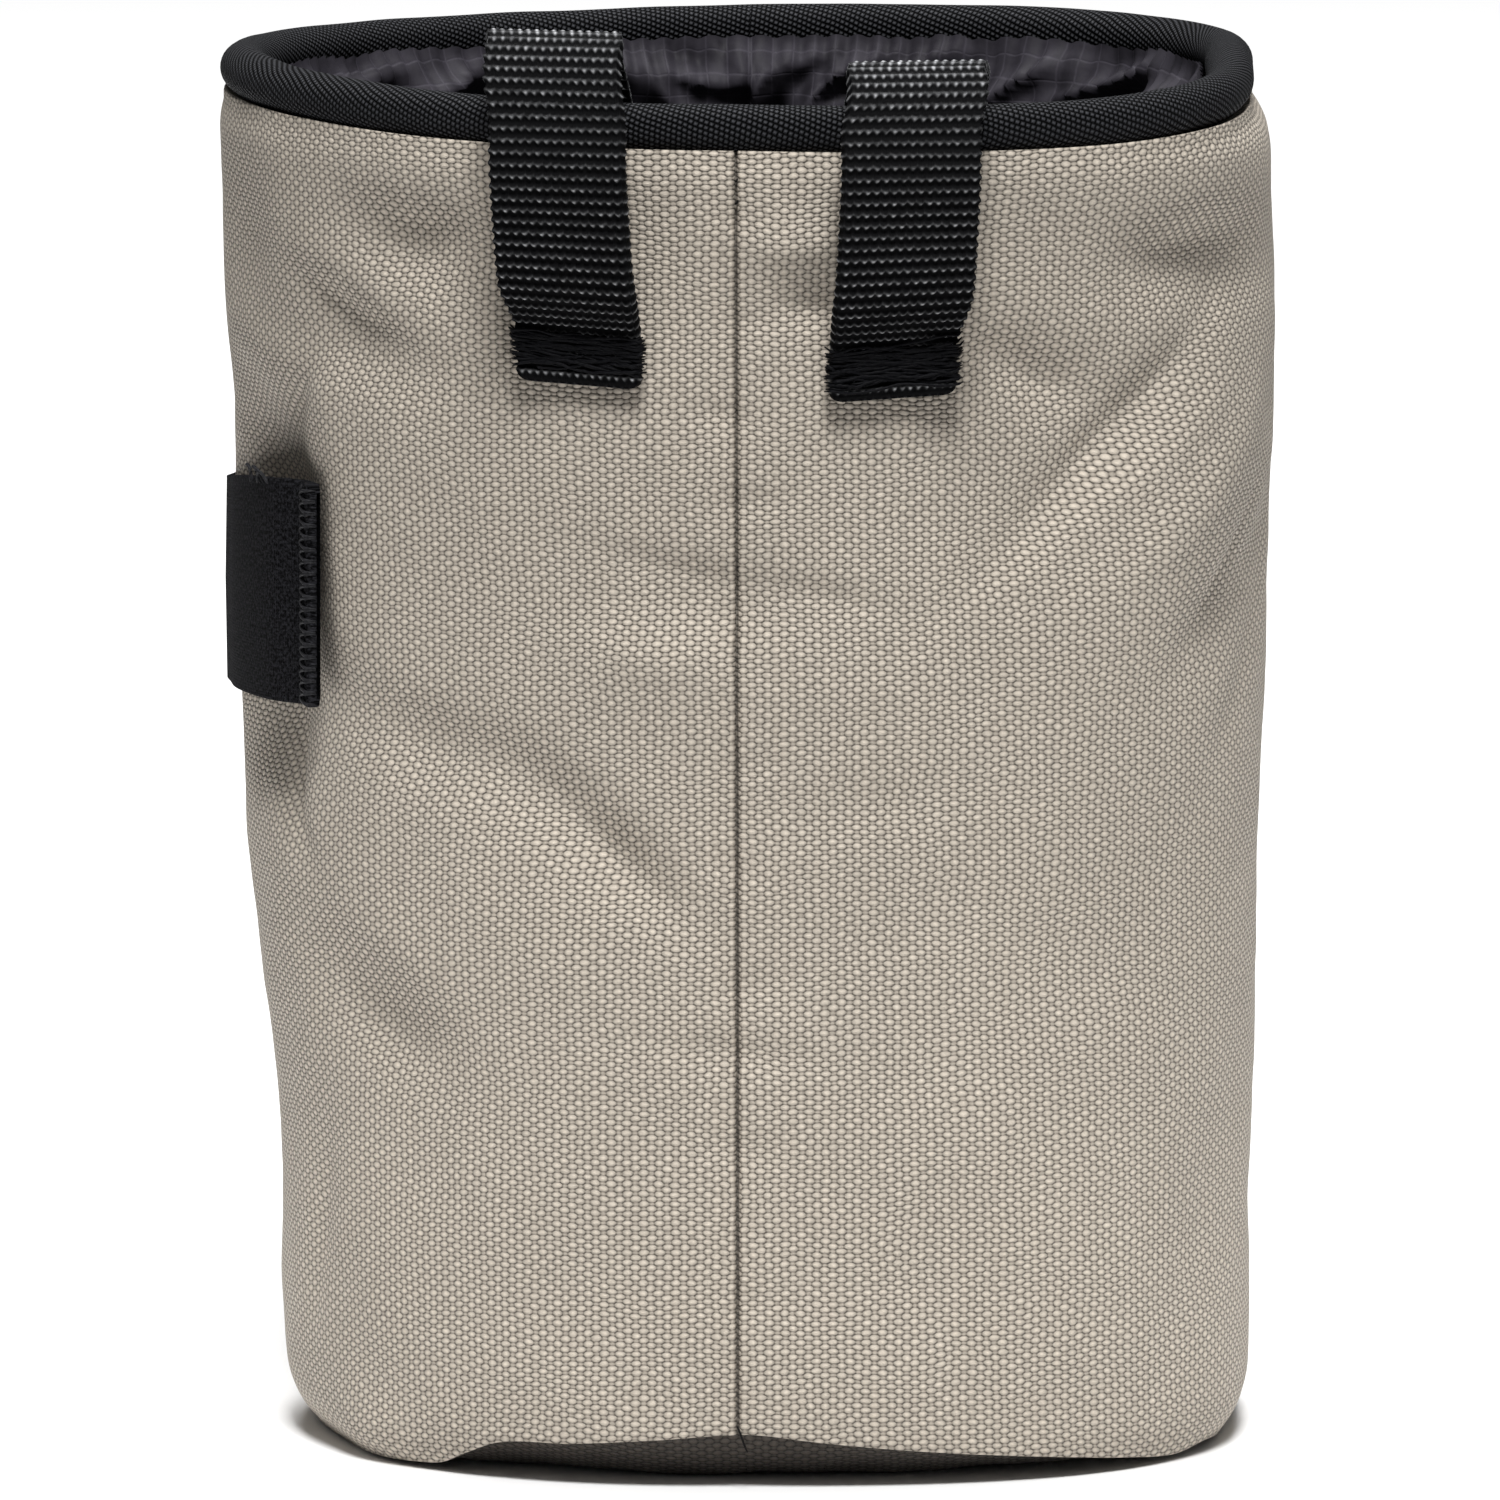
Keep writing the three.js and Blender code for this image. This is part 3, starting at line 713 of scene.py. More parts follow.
def ribbed_webbing(name, thread, gap, rib_pitch):
    """Black webbing, with painted glints as bright points along each rib."""
    finish = Finish(name, Roughness=0.45, Specular_IOR_Level=0.03)
    place, across, along = finish.cloth()
    uneven = finish.grain(place, 1.2, 2.0)
    points = cosine(across, WEBBING_POINT_PITCH) * 0.5 + 0.5
    crest = (cosine(along + points * 0.15, rib_pitch) * 0.5 + 0.5) ** 6.0
    strands = finish.strands(place, 7.0, 2.0)
    height = crest * (0.6 + points * 0.4) + strands * 0.35
    finish.relief(height, 0.14)
    # Painted glints: the bright thread colour is laid only on the beads along each rib's crest, and the black
    # gap is the webbing's own colour.
    bead = points**2.5 * 0.88 + 0.12
    painted_light = (crest * bead * (uneven * uneven * 2.5) + strands * 0.012).maths("MINIMUM", 1.0)
    finish.feed("Base Color", finish.mix(painted_light, gap, thread))
    finish.feed("Roughness", 0.66 - painted_light * 0.3)
    return finish.material


def fine_elastic(name, thread, gap):
    """Knitted elastic with very fine ribs."""
    finish = Finish(name, Roughness=0.75, Specular_IOR_Level=0.04)
    place, across, up = finish.cloth()
    ribs = cosine(across, ELASTIC_RIB) * 0.5 + 0.5
    stitches = cosine(up, ELASTIC_STITCH) * 0.5 + 0.5
    lint = finish.grain(place, 2.2, 4.0, 0.7)
    finish.relief(ribs * 0.3 + ribs * stitches * 0.5 + lint * 0.9, 0.16)
    fuzz = ((lint - 0.44) * 7.0).clamped()
    finish.feed("Base Color", finish.mix(fuzz * (0.6 + ribs * stitches * 0.4), gap, thread))
    finish.feed("Roughness", 0.7 + lint * 0.2)
    return finish.material


def sewing_thread(name, colour, dark):
    """Twisted thread, lighter where it catches the light."""
    finish = Finish(name, Roughness=0.45, Specular_IOR_Level=0.05)
    place = finish.add("ShaderNodeTexCoord", {}, [], 3)
    twist = finish.grain(place, 2500.0, 2.0)
    finish.feed("Base Color", finish.mix(twist, dark, colour))
    finish.relief(twist, 0.05)
    return finish.material


class ClothSettings(bpy.types.PropertyGroup):
    """Colours and sizes of the cloth that a maker would change."""

    cloth_colour: FloatVectorProperty(
        name="Wall Cloth",
        description="Colour of the floats of the woven wall",
        subtype="COLOR",
        size=4,
        min=0,
        max=1,
        default=linear(216, 205, 190),
    )
    # Painted shade: the dark colour down between the wall's floats and under each of them.
    cloth_shade_colour: FloatVectorProperty(
        name="Wall Shade",
        description="Colour down between the floats of the woven wall",
        subtype="COLOR",
        size=4,
        min=0,
        max=1,
        default=linear(70, 64, 56),
    )
    # Painted shade: the base panel is the same cloth as the wall, coloured dark because it sits in shade
    # beneath the bag.
    shaded_base_colour: FloatVectorProperty(
        name="Shaded Base Cloth",
        description="Colour of the darker base panel",
        subtype="COLOR",
        size=4,
        min=0,
        max=1,
        default=linear(80, 73, 66),
    )
    lining_colour: FloatVectorProperty(
        name="Lining",
        description="Colour of the ripstop lining",
        subtype="COLOR",
        size=4,
        min=0,
        max=1,
        default=linear(70, 67, 75),
    )
    # Painted glint: the light colour laid on the binding's raised yarns, over a near-black tape.
    trim_glint_colour: FloatVectorProperty(
        name="Binding",
        description="Colour of the raised yarns of the binding tape",
        subtype="COLOR",
        size=4,
        min=0,
        max=1,
        default=linear(78, 79, 83),
    )
    yarn_pitch: FloatProperty(
        name="Yarn Pitch",
        description="Distance from one yarn of the wall to the next across the bag",
        unit="LENGTH",
        min=0.0003,
        max=0.003,
        default=0.00093,
    )
    pucker: FloatProperty(
        name="Pucker",
        description="Depth of the small uneven waves in the wall",
        unit="LENGTH",
        min=0,
        max=0.002,
        default=0.00035,
    )


class LoopSettings(bpy.types.PropertyGroup):
    """Sizes of the loops' weave and stitches."""

    rib_pitch: FloatProperty(
        name="Rib Pitch",
        description="Distance from one rib of the webbing to the next",
        unit="LENGTH",
        min=0.0005,
        max=0.004,
        default=0.00135,
    )
    rib_depth: FloatProperty(
        name="Rib Depth",
        description="How far the ribs of the webbing stand out",
        unit="LENGTH",
        min=0,
        max=0.001,
        default=0.00026,
    )
    tack_threads: IntProperty(
        name="Bar Tack Threads",
        description="Number of threads across each sewn end",
        min=8,
        max=120,
        default=56,
    )


class StageSettings(bpy.types.PropertyGroup):
    """The camera's distance and the brightness of the studio."""

    camera_distance: FloatProperty(
        name="Camera Distance",
        description="Distance from the camera to the middle of the bag",
        unit="LENGTH",
        min=0.5,
        max=10,
        default=3.0,
    )
    key_power: FloatProperty(
        name="Key Light",
        description="Power of the large soft light above the front",
        unit="POWER",
        min=0,
        max=500,
        default=59.5,
    )
    surround: FloatProperty(
        name="Surroundings",
        description="Brightness of the white surroundings",
        subtype="FACTOR",
        min=0,
        max=2,
        default=0.13,
    )


def seam_shape(angle, z):
    """Height of the folded edge along the centre seam, and the groove beside it."""
    across = turn_between(angle, SEAM_AROUND) * np.radians(full_radius(angle, z))
    fold = 0.34 * soft_bump(across + 0.8, 0.6)
    groove = 1.0 * soft_bump(across - 0.08, 0.24)
    hollow = 0.4 * soft_bump(across, 3.2)
    return fold - groove - hollow


class CHALKBAG_OT_wall(bpy.types.Operator):
    """Weave the wall with its folds, its seam and its turned edges"""

    bl_idname = "chalkbag.wall"
    bl_label = "Wall"

    def execute(self, context):
        settings = context.scene.chalkbag_cloth
        extra = SEAM_AROUND + np.degrees(np.array(SEAM_COLUMNS) / SEAM_RADIUS)
        angles = turned_angles(470, extra=extra)[None, :]
        hem_rows = np.linspace(0, 0.03, 12)[1:]
        middle_rows = np.linspace(0.03, 0.97, 178)[1:-1]
        top_rows = np.linspace(0.97, 1, 10)[:-1]
        shares = np.concatenate([hem_rows, middle_rows, top_rows])[:, None]
        z = lerp(hem_height(angles), top_height(angles), shares)
        inward = crease_depth(angles, z)
        tucked = sum(deep * soft_bump(turn_between(angles, at), wide) for at, deep, wide in CORNER_TUCKS)
        inward = inward + tucked * np.maximum(0, 1 - z / TUCK_HEIGHT) ** 2
        cuff = CUFF_SWELL * soft_bump(top_height(angles) - z, CUFF_HEIGHT)
        radius = wall_radius(angles, z) - inward + cuff
        points = around(angles, radius, z)
        waves = ripple(points, 11.0, 1) * 0.7 + ripple(points, 5.0, 2) * 0.3
        edge = smoothstep(shares, 0.0, 0.03) * (1 - smoothstep(shares, 0.93, 0.99) * 0.6)
        radius = radius + waves * settings.pucker / MM * edge + seam_shape(angles, z)
        low = [(radius[:1] - inset, hem_height(angles) + lift) for inset, lift in HEM_TURN]
        high = [(radius[-1:] - inset, top_height(angles) + lift) for inset, lift in TOP_TURN]
        radius = np.concatenate([r for r, _ in low] + [radius] + [r for r, _ in high])
        z = np.concatenate([h for _, h in low] + [z] + [h for _, h in high])
        mean = full_radius(180.0, z).mean(axis=1, keepdims=True)
        uv = np.stack(np.broadcast_arrays(np.radians(angles - SEAM_AROUND) * mean, z), axis=-1)
        wall = grid_mesh("wall_cloth", around(angles, radius, z), uv, 2 * math.pi * mean)
        # The second colour is painted shade between and under the floats.
        colours = (settings.cloth_colour, settings.cloth_shade_colour)
        finish = woven_cloth("woven wall", *colours, settings.yarn_pitch / MM, seam=True)
        dress(wall, finish, "woven_cloth", "bag_body")
        return {"FINISHED"}


class CHALKBAG_OT_base(bpy.types.Operator):
    """Lay the pillowed base panel"""

    bl_idname = "chalkbag.base"
    bl_label = "Base Panel"

    def execute(self, context):
        settings = context.scene.chalkbag_cloth
        angles = turned_angles(240)[None, :]
        spokes = np.concatenate([np.linspace(0.004, 0.8, 26), np.linspace(0.8, 1.0, 24)[1:]])[:, None]
        edge = wall_radius(angles, hem_height(angles)) - WALL_THICKNESS - CLEARANCE
        past = np.maximum(0, (spokes - BASE_FLAT_SHARE) / (1 - BASE_FLAT_SHARE))
        z = (hem_height(angles) + CLEARANCE) * past**BASE_CURVE
        points = around(angles, edge * spokes, z)
        z = z + np.maximum(0, ripple(points, 9.0, 5)) * 0.7 * smoothstep(spokes, 0.5, 0.8)
        points = around(angles, edge * spokes, np.maximum(z, 0.02))
        points = points[::-1]
        base = grid_mesh("base_cloth", points, points[..., :2])
        # Both base colours are painted shade, as the panel faces the floor.
        colours = (settings.shaded_base_colour, linear(22, 20, 18))
        finish = woven_cloth("woven base", *colours, settings.yarn_pitch / MM)
        dress(base, finish, "base_cloth", "base_panel")
        return {"FINISHED"}


class CHALKBAG_OT_binding(bpy.types.Operator):
    """Roll the twill tape round the mouth"""

    bl_idname = "chalkbag.binding"
    bl_label = "Mouth Binding"

    def execute(self, context):
        settings = context.scene.chalkbag_cloth
        angles = turned_angles(620)[None, :]
        turns = np.linspace(-100, 260, 34)[:, None]
        radius, z = binding_middle(angles)
        middle = around(angles, radius, z)
        lump = ripple(middle, 9.0, 3) * 0.12 + ripple(middle, 30.0, 4) * 0.1
        tube = BINDING_DIAMETER / 2 - 0.05 + lump
        out = tube * np.cos(np.radians(turns))
        up = tube * np.sin(np.radians(turns)) * 0.99
        points = around(angles, radius + out, z + up)
        along = np.radians(angles) * BINDING_RADIUS
        uv = np.stack(np.broadcast_arrays(along, np.radians(turns) * BINDING_DIAMETER / 2), axis=-1)
        binding = grid_mesh("binding_tape", points, uv, 2 * math.pi * BINDING_RADIUS)
        # The trim colour is painted glint, and the near-black gap is the tape's black darkened with painted
        # shade between the beads.
        finish = twill_tape("twill tape", settings.trim_glint_colour, linear(4, 4, 5))
        dress(binding, finish, "binding_tape", "mouth_binding")
        return {"FINISHED"}


def away_from_straps(angle):
    """0 behind a belt loop, rising to 1 in the open stretches of the mouth."""
    beside = [np.abs(turn_between(angle, loop[1])) for loop in BELT_LOOPS]
    return smoothstep(np.minimum(*beside), 8.4, 14)


class CHALKBAG_OT_lining(bpy.types.Operator):
    """Gather the ripstop lining under the binding"""

    bl_idname = "chalkbag.lining"
    bl_label = "Lining"

    def execute(self, context):
        settings = context.scene.chalkbag_cloth
        angles = turned_angles(640, bias=-0.25)[None, :]
        depths = np.concatenate([np.linspace(0, 0.2, 44), np.linspace(0.2, 0.965, 56)[1:]])[:, None]
        middle, ring = binding_middle(angles)
        top = ring - BINDING_DIAMETER * 0.2
        z = lerp(top, hem_height(angles) + 2.4, depths)
        tucked = middle - BINDING_DIAMETER / 2 - 0.1
        smooth_wall = full_radius(angles, z) - 0.8 * brush_hollow(angles, z)
        against = smooth_wall - fold_depth(angles, z, FOLDS) * 0.8 - WALL_THICKNESS - 1.2
        against = against - np.maximum(0, crease_depth(angles, z))
        settled = np.minimum(lerp(tucked, against, smoothstep(depths, 0.01, 0.14)), against)
        across = np.radians(angles) * LINING_RADIUS
        gathers = 1 - np.abs(np.cos(across * 1.1 + 1.4 * np.sin(across / 6.5))) ** 3
        uneven = 0.65 + 0.35 * np.sin(across / 11 + 2)
        billows = 0.5 + 0.5 * np.sin(across / 3.6 + 2.4 * np.sin(across / 12) + 1.5 * np.sin(across / 5))
        fade = 1 - smoothstep(depths, 0.03, 0.22)
        swell = smoothstep(depths, -0.004, 0.02) * (1 - smoothstep(depths, 0.08, 0.5))
        calm = away_from_straps(angles)
        pull = (0.4 * gathers * fade + 1.6 * billows * uneven * swell) * calm
        radius = settled - pull
        points = around(angles, radius, z)
        down = top - z
        slant = across + down * 1.7 * np.sin(across / 38.0 + 0.8)
        pleat_places = np.stack(np.broadcast_arrays(slant / 9.0, down / 8.0, 0.5), axis=-1)
        fine_places = np.stack(np.broadcast_arrays(across / 4.2, down / 3.4, 3.5), axis=-1)
        pleats = 1 - 2.4 * np.abs(ripple(pleat_places, 1.0, 6)) + 0.15 * ripple(fine_places, 1.0, 7)
        crumple = np.maximum(-1.4, ripple(points, 9.0, 6) * 0.8 + pleats * 3.2)
        radius = radius - (crumple + 0.5) * smoothstep(depths, 0.002, 0.03) * (0.25 + 0.75 * calm)
        scallop = (0.4 * gathers + 0.5 * billows) * calm * (1 - smoothstep(depths, 0.0, 0.05))
        points = around(angles, radius, z + scallop)
        spokes = np.linspace(0.97, 0.01, 30)[:, None]
        edge = radius[-1:] * spokes
        past = np.maximum(0, (spokes - BASE_FLAT_SHARE) / (1 - BASE_FLAT_SHARE))
        floor = (hem_height(angles) + CLEARANCE) * past**BASE_CURVE + 2.6
        floor_points = around(angles, edge, floor)
        floor_points[..., 2] += np.maximum(0, ripple(floor_points, 12.0, 8)) * 1.2
        points = np.concatenate([points, floor_points])
        along = np.concatenate([z, z[-1:] - (1 - spokes) * 50])
        uv = np.stack(np.broadcast_arrays(across, along), axis=-1)
        lining = grid_mesh("lining_cloth", points[::-1], uv[::-1], 2 * math.pi * LINING_RADIUS)
        # The second colour is painted shade in the lining's crumples.
        finish = ripstop("ripstop lining", settings.lining_colour, linear(9, 8, 11))
        dress(lining, finish, "lining_cloth", "lining")
        return {"FINISHED"}


def spline_points(controls, count):
    """Evenly spaced points along a smooth line through control points."""
    controls = np.array(controls, float)
    padded = np.concatenate([controls[:1], controls, controls[-1:]])
    dense = []
    for index in range(len(controls) - 1):
        share = np.linspace(0, 1, 60, endpoint=index == len(controls) - 2)[:, None]
        before, start, end, after = padded[index : index + 4]
        leave = (end - before) / 2
        arrive = (after - start) / 2
        cubic = 2 * start - 2 * end + leave + arrive
        square = 3 * end - 3 * start - 2 * leave - arrive
        dense.append(cubic * share**3 + square * share**2 + leave * share + start)
    dense = np.concatenate(dense)
    lengths = np.concatenate([[0], np.cumsum(np.linalg.norm(np.diff(dense, axis=0), axis=1))])
    wanted = np.linspace(0, lengths[-1], count)
    points = np.stack([np.interp(wanted, lengths, column) for column in dense.T], axis=1)
    return points, wanted


def facing(radius_at, angle, width):
    """Direction in which a ring of points faces across a width, in degrees."""
    half = math.degrees(width / 2 / float(radius_at(angle)))
    low = around(angle - half, radius_at(angle - half), 0.0)
    high = around(angle + half, radius_at(angle + half), 0.0)
    return math.degrees(math.atan2(high[1] - low[1], high[0] - low[0]))


def strip_outline(half, count, face, bulge, skip):
    """Places across a strip, and lifts off its middle, going round its cross-section."""
    front = np.linspace(-half, half, count)
    back = front[::-skip]
    bulge = np.array(bulge)
    side = face * np.array([0.75, 0.4, 0.0, -0.4, -0.75])
    across = np.concatenate([front, half + bulge, back, -half - bulge])
    return across, np.concatenate([np.full(count, face), side, np.full(len(back), -face), -side])


def corner_inset(from_end, radius):
    """How far a strip's edge draws in near its end, for a rounded corner."""
    return radius - np.sqrt(np.maximum(0, radius**2 - np.maximum(0, radius - from_end) ** 2))


def folded_end(from_end):
    """Share of the elastic's full thickness near its folded end."""
    return np.sqrt(1 - (1 - np.clip(from_end / ELASTIC_FOLD, 0.04, 1)) ** 2)


class BeltLoop:
    """The webbing's middle line and the places across its width."""

    def __init__(self, angle, rise, drop):
        self.angle = angle
        self.rise = rise
        self.drop = drop
        self.radius, self.z = (float(value) for value in binding_middle(angle))
        self.mouth = facing(lambda turn: binding_middle(turn)[0], angle, WEBBING_WIDTH)
        self.wall = facing(lambda turn: wall_radius(turn, self.z - drop), angle, WEBBING_WIDTH)
        half = WEBBING_THICKNESS / 2
        inner = -(BINDING_DIAMETER / 2 + 2.4 + half)
        sewn_top = LOOP_SEWN_LENGTH - drop
        controls = [(self.wall_out(-drop), -drop), (self.wall_out(sewn_top), sewn_top)]
        for out, up in LOOP_ROUTE:
            controls.append((out * LOOP_STAND_OFF + BINDING_OVERHANG, up * (drop if up < 0 else rise)))
        tail_middle = LOOP_SEWN_LENGTH / 2 - LOOP_TAIL
        controls += [(inner - 0.6, 0), (inner - 0.9, tail_middle), (inner - 0.6, -LOOP_TAIL)]
        self.line, self.lengths = spline_points(controls, 520)
        self.topmost = int(self.line[:, 1].argmax())
        self.normals = flat_normals(self.line)

    def wall_out(self, up):
        reach = math.degrees((WEBBING_WIDTH / 2 + LOOP_LEAN) / self.radius)
        turns = np.linspace(self.angle - reach, self.angle + reach, 9)
        radius = wall_radius(turns, self.z + up)
        outward = around(self.wall, 1.0, 0.0)
        origin = around(self.angle, self.radius, 0.0)
        distance = (around(turns, radius, 0.0) - origin) @ outward
        return float(distance.max()) + CLEARANCE * 0.5 + WEBBING_THICKNESS / 2

    def rows_at(self, length):
        rows = np.arange(len(self.lengths))
        return np.interp(length, self.lengths, rows).round().astype(int)

    def place(self, row, across, lift):
        """Points at rows of the middle line, across the width and lifted off its face."""
        flat = self.line[row] + self.normals[row] * lift[..., None]
        out = flat[..., 0]
        up = flat[..., 1]
        down = smoothstep(-up, 0, self.drop)
        sewn = 1 - smoothstep(up + self.drop, LOOP_SEWN_LENGTH, 2 * LOOP_SEWN_LENGTH)
        across = across * lerp(1, LOOP_SEWN_WIDTH / WEBBING_WIDTH, sewn)
        yaw = np.radians(lerp(self.mouth, self.wall, down))
        sign = math.copysign(1, self.angle)
        inward = np.where(row > self.topmost - 60, np.maximum(0, LOOP_STAND_OFF * 0.6 - out), 0)
        lean = sign * (LOOP_LEAN * smoothstep(up, 0, self.rise) + LOOP_SHEAR * inward)
        tilt = sign * math.tan(math.radians(LOOP_END_TILT)) * across * down
        start = around(self.angle, self.radius + out, self.z + up + tilt)
        sideways = np.stack([np.cos(yaw), np.sin(yaw), np.zeros_like(yaw)], axis=-1)
        return start + sideways * (across + lean)[..., None]


class CHALKBAG_OT_belt_loops(bpy.types.Operator):
    """Weave the two belt loops and sew their ends"""

    bl_idname = "chalkbag.belt_loops"
    bl_label = "Belt Loops"

    def execute(self, context):
        loops = context.scene.chalkbag_loops
        pitch = loops.rib_pitch / MM
        depth = loops.rib_depth / MM
        # The light colour is painted glint on the black webbing.
        finish = ribbed_webbing("ribbed webbing", linear(188, 189, 192), linear(3, 3, 4), pitch)
        thread = sewing_thread("black thread", linear(27, 27, 30), linear(2, 2, 3))
        for name, angle, rise, drop in BELT_LOOPS:
            loop = BeltLoop(angle, rise, drop)
            half = WEBBING_WIDTH / 2
            bulge = (0.0, 0.12, 0.16, 0.12, 0.0)
            ring_across, ring_lift = strip_outline(half, 82, WEBBING_THICKNESS / 2, bulge, 8)
            rows = np.arange(len(loop.line))[:, None]
            length = loop.lengths[:, None]
            points_up = np.abs(np.cos(np.pi * ring_across / WEBBING_POINT_PITCH))[None, :]
            shifted = length + 0.16 * points_up
            crest = (0.5 + 0.5 * np.cos(2 * np.pi * shifted / pitch)) ** 1.5
            bumps = crest * (0.45 + 0.55 * points_up)
            outside = (ring_lift > 0)[None, :]
            lift = ring_lift[None, :] + np.where(outside, (bumps - 0.45) * depth * 1.6, 0)
            sides = np.clip((np.abs(ring_across) - half * 0.96) / (half * 0.04), 0, 1)
            across = ring_across[None, :] + np.sign(ring_across)[None, :] * sides * (crest - 0.5) * 0.18
            corner = np.minimum(length, loop.lengths[-1] - length)
            widest = half + 0.2 - corner_inset(corner, WEBBING_CORNER)
            across = np.sign(across) * np.minimum(np.abs(across), widest)
            thin = np.clip(corner / 0.5, 0.3, 1)
            webbing = loop.place(rows, across, lift * thin)
            uv = np.stack(np.broadcast_arrays(across, shifted), axis=-1)
            strap = grid_mesh(name + "_webbing", webbing[:, ::-1], uv[:, ::-1])
            dress(strap, finish, "webbing", name)
            tack = self.bar_tack(loop, loops.tack_threads)
            stitches = thread_mesh(name + "_bar_tack", tack, 0.17, sides=5)
            dress(stitches, thread, "webbing")
        return {"FINISHED"}

    def bar_tack(self, loop, count):
        """Satin threads across the sewn end, and one loose thread end beside them."""
        random = np.random.default_rng(int(abs(loop.angle) * 10))
        paths = []
        start = 2.0
        for step in range(count):
            base = start + 4.4 * step / count
            first, last = (-1, 1) if step % 3 else np.sort(random.uniform(-1, 1, 2))
            steps = np.linspace(max(-1, min(first, last - 0.5)), last, 26)
            wander = random.normal(0, 0.3, 3)
            length = base + wander[0] + wander[1] * steps * 1.6 + 0.3 * np.sin(steps * 5 + step)
            row = loop.rows_at(length)
            reach = WEBBING_WIDTH / 2 + 0.75 + random.uniform(-0.4, 0.3)
            lift = WEBBING_THICKNESS / 2 + 0.2 + 0.3 * random.random() + 0.16 * np.cos(steps * 9 + step * 2.1)
            lift = lift - 0.75 * np.clip((np.abs(steps) - 0.93) / 0.07, 0, 1)
            paths.append(loop.place(row, steps * reach, lift))
        steps = np.linspace(0, 1, 8)
        row = loop.rows_at(3.4 + 1.2 * steps)
        sign = -math.copysign(1, loop.angle)
        paths.append(loop.place(row, sign * (7.2 + 1.5 * steps), 0.9 + 0.5 * np.sin(steps * 3)))
        return paths


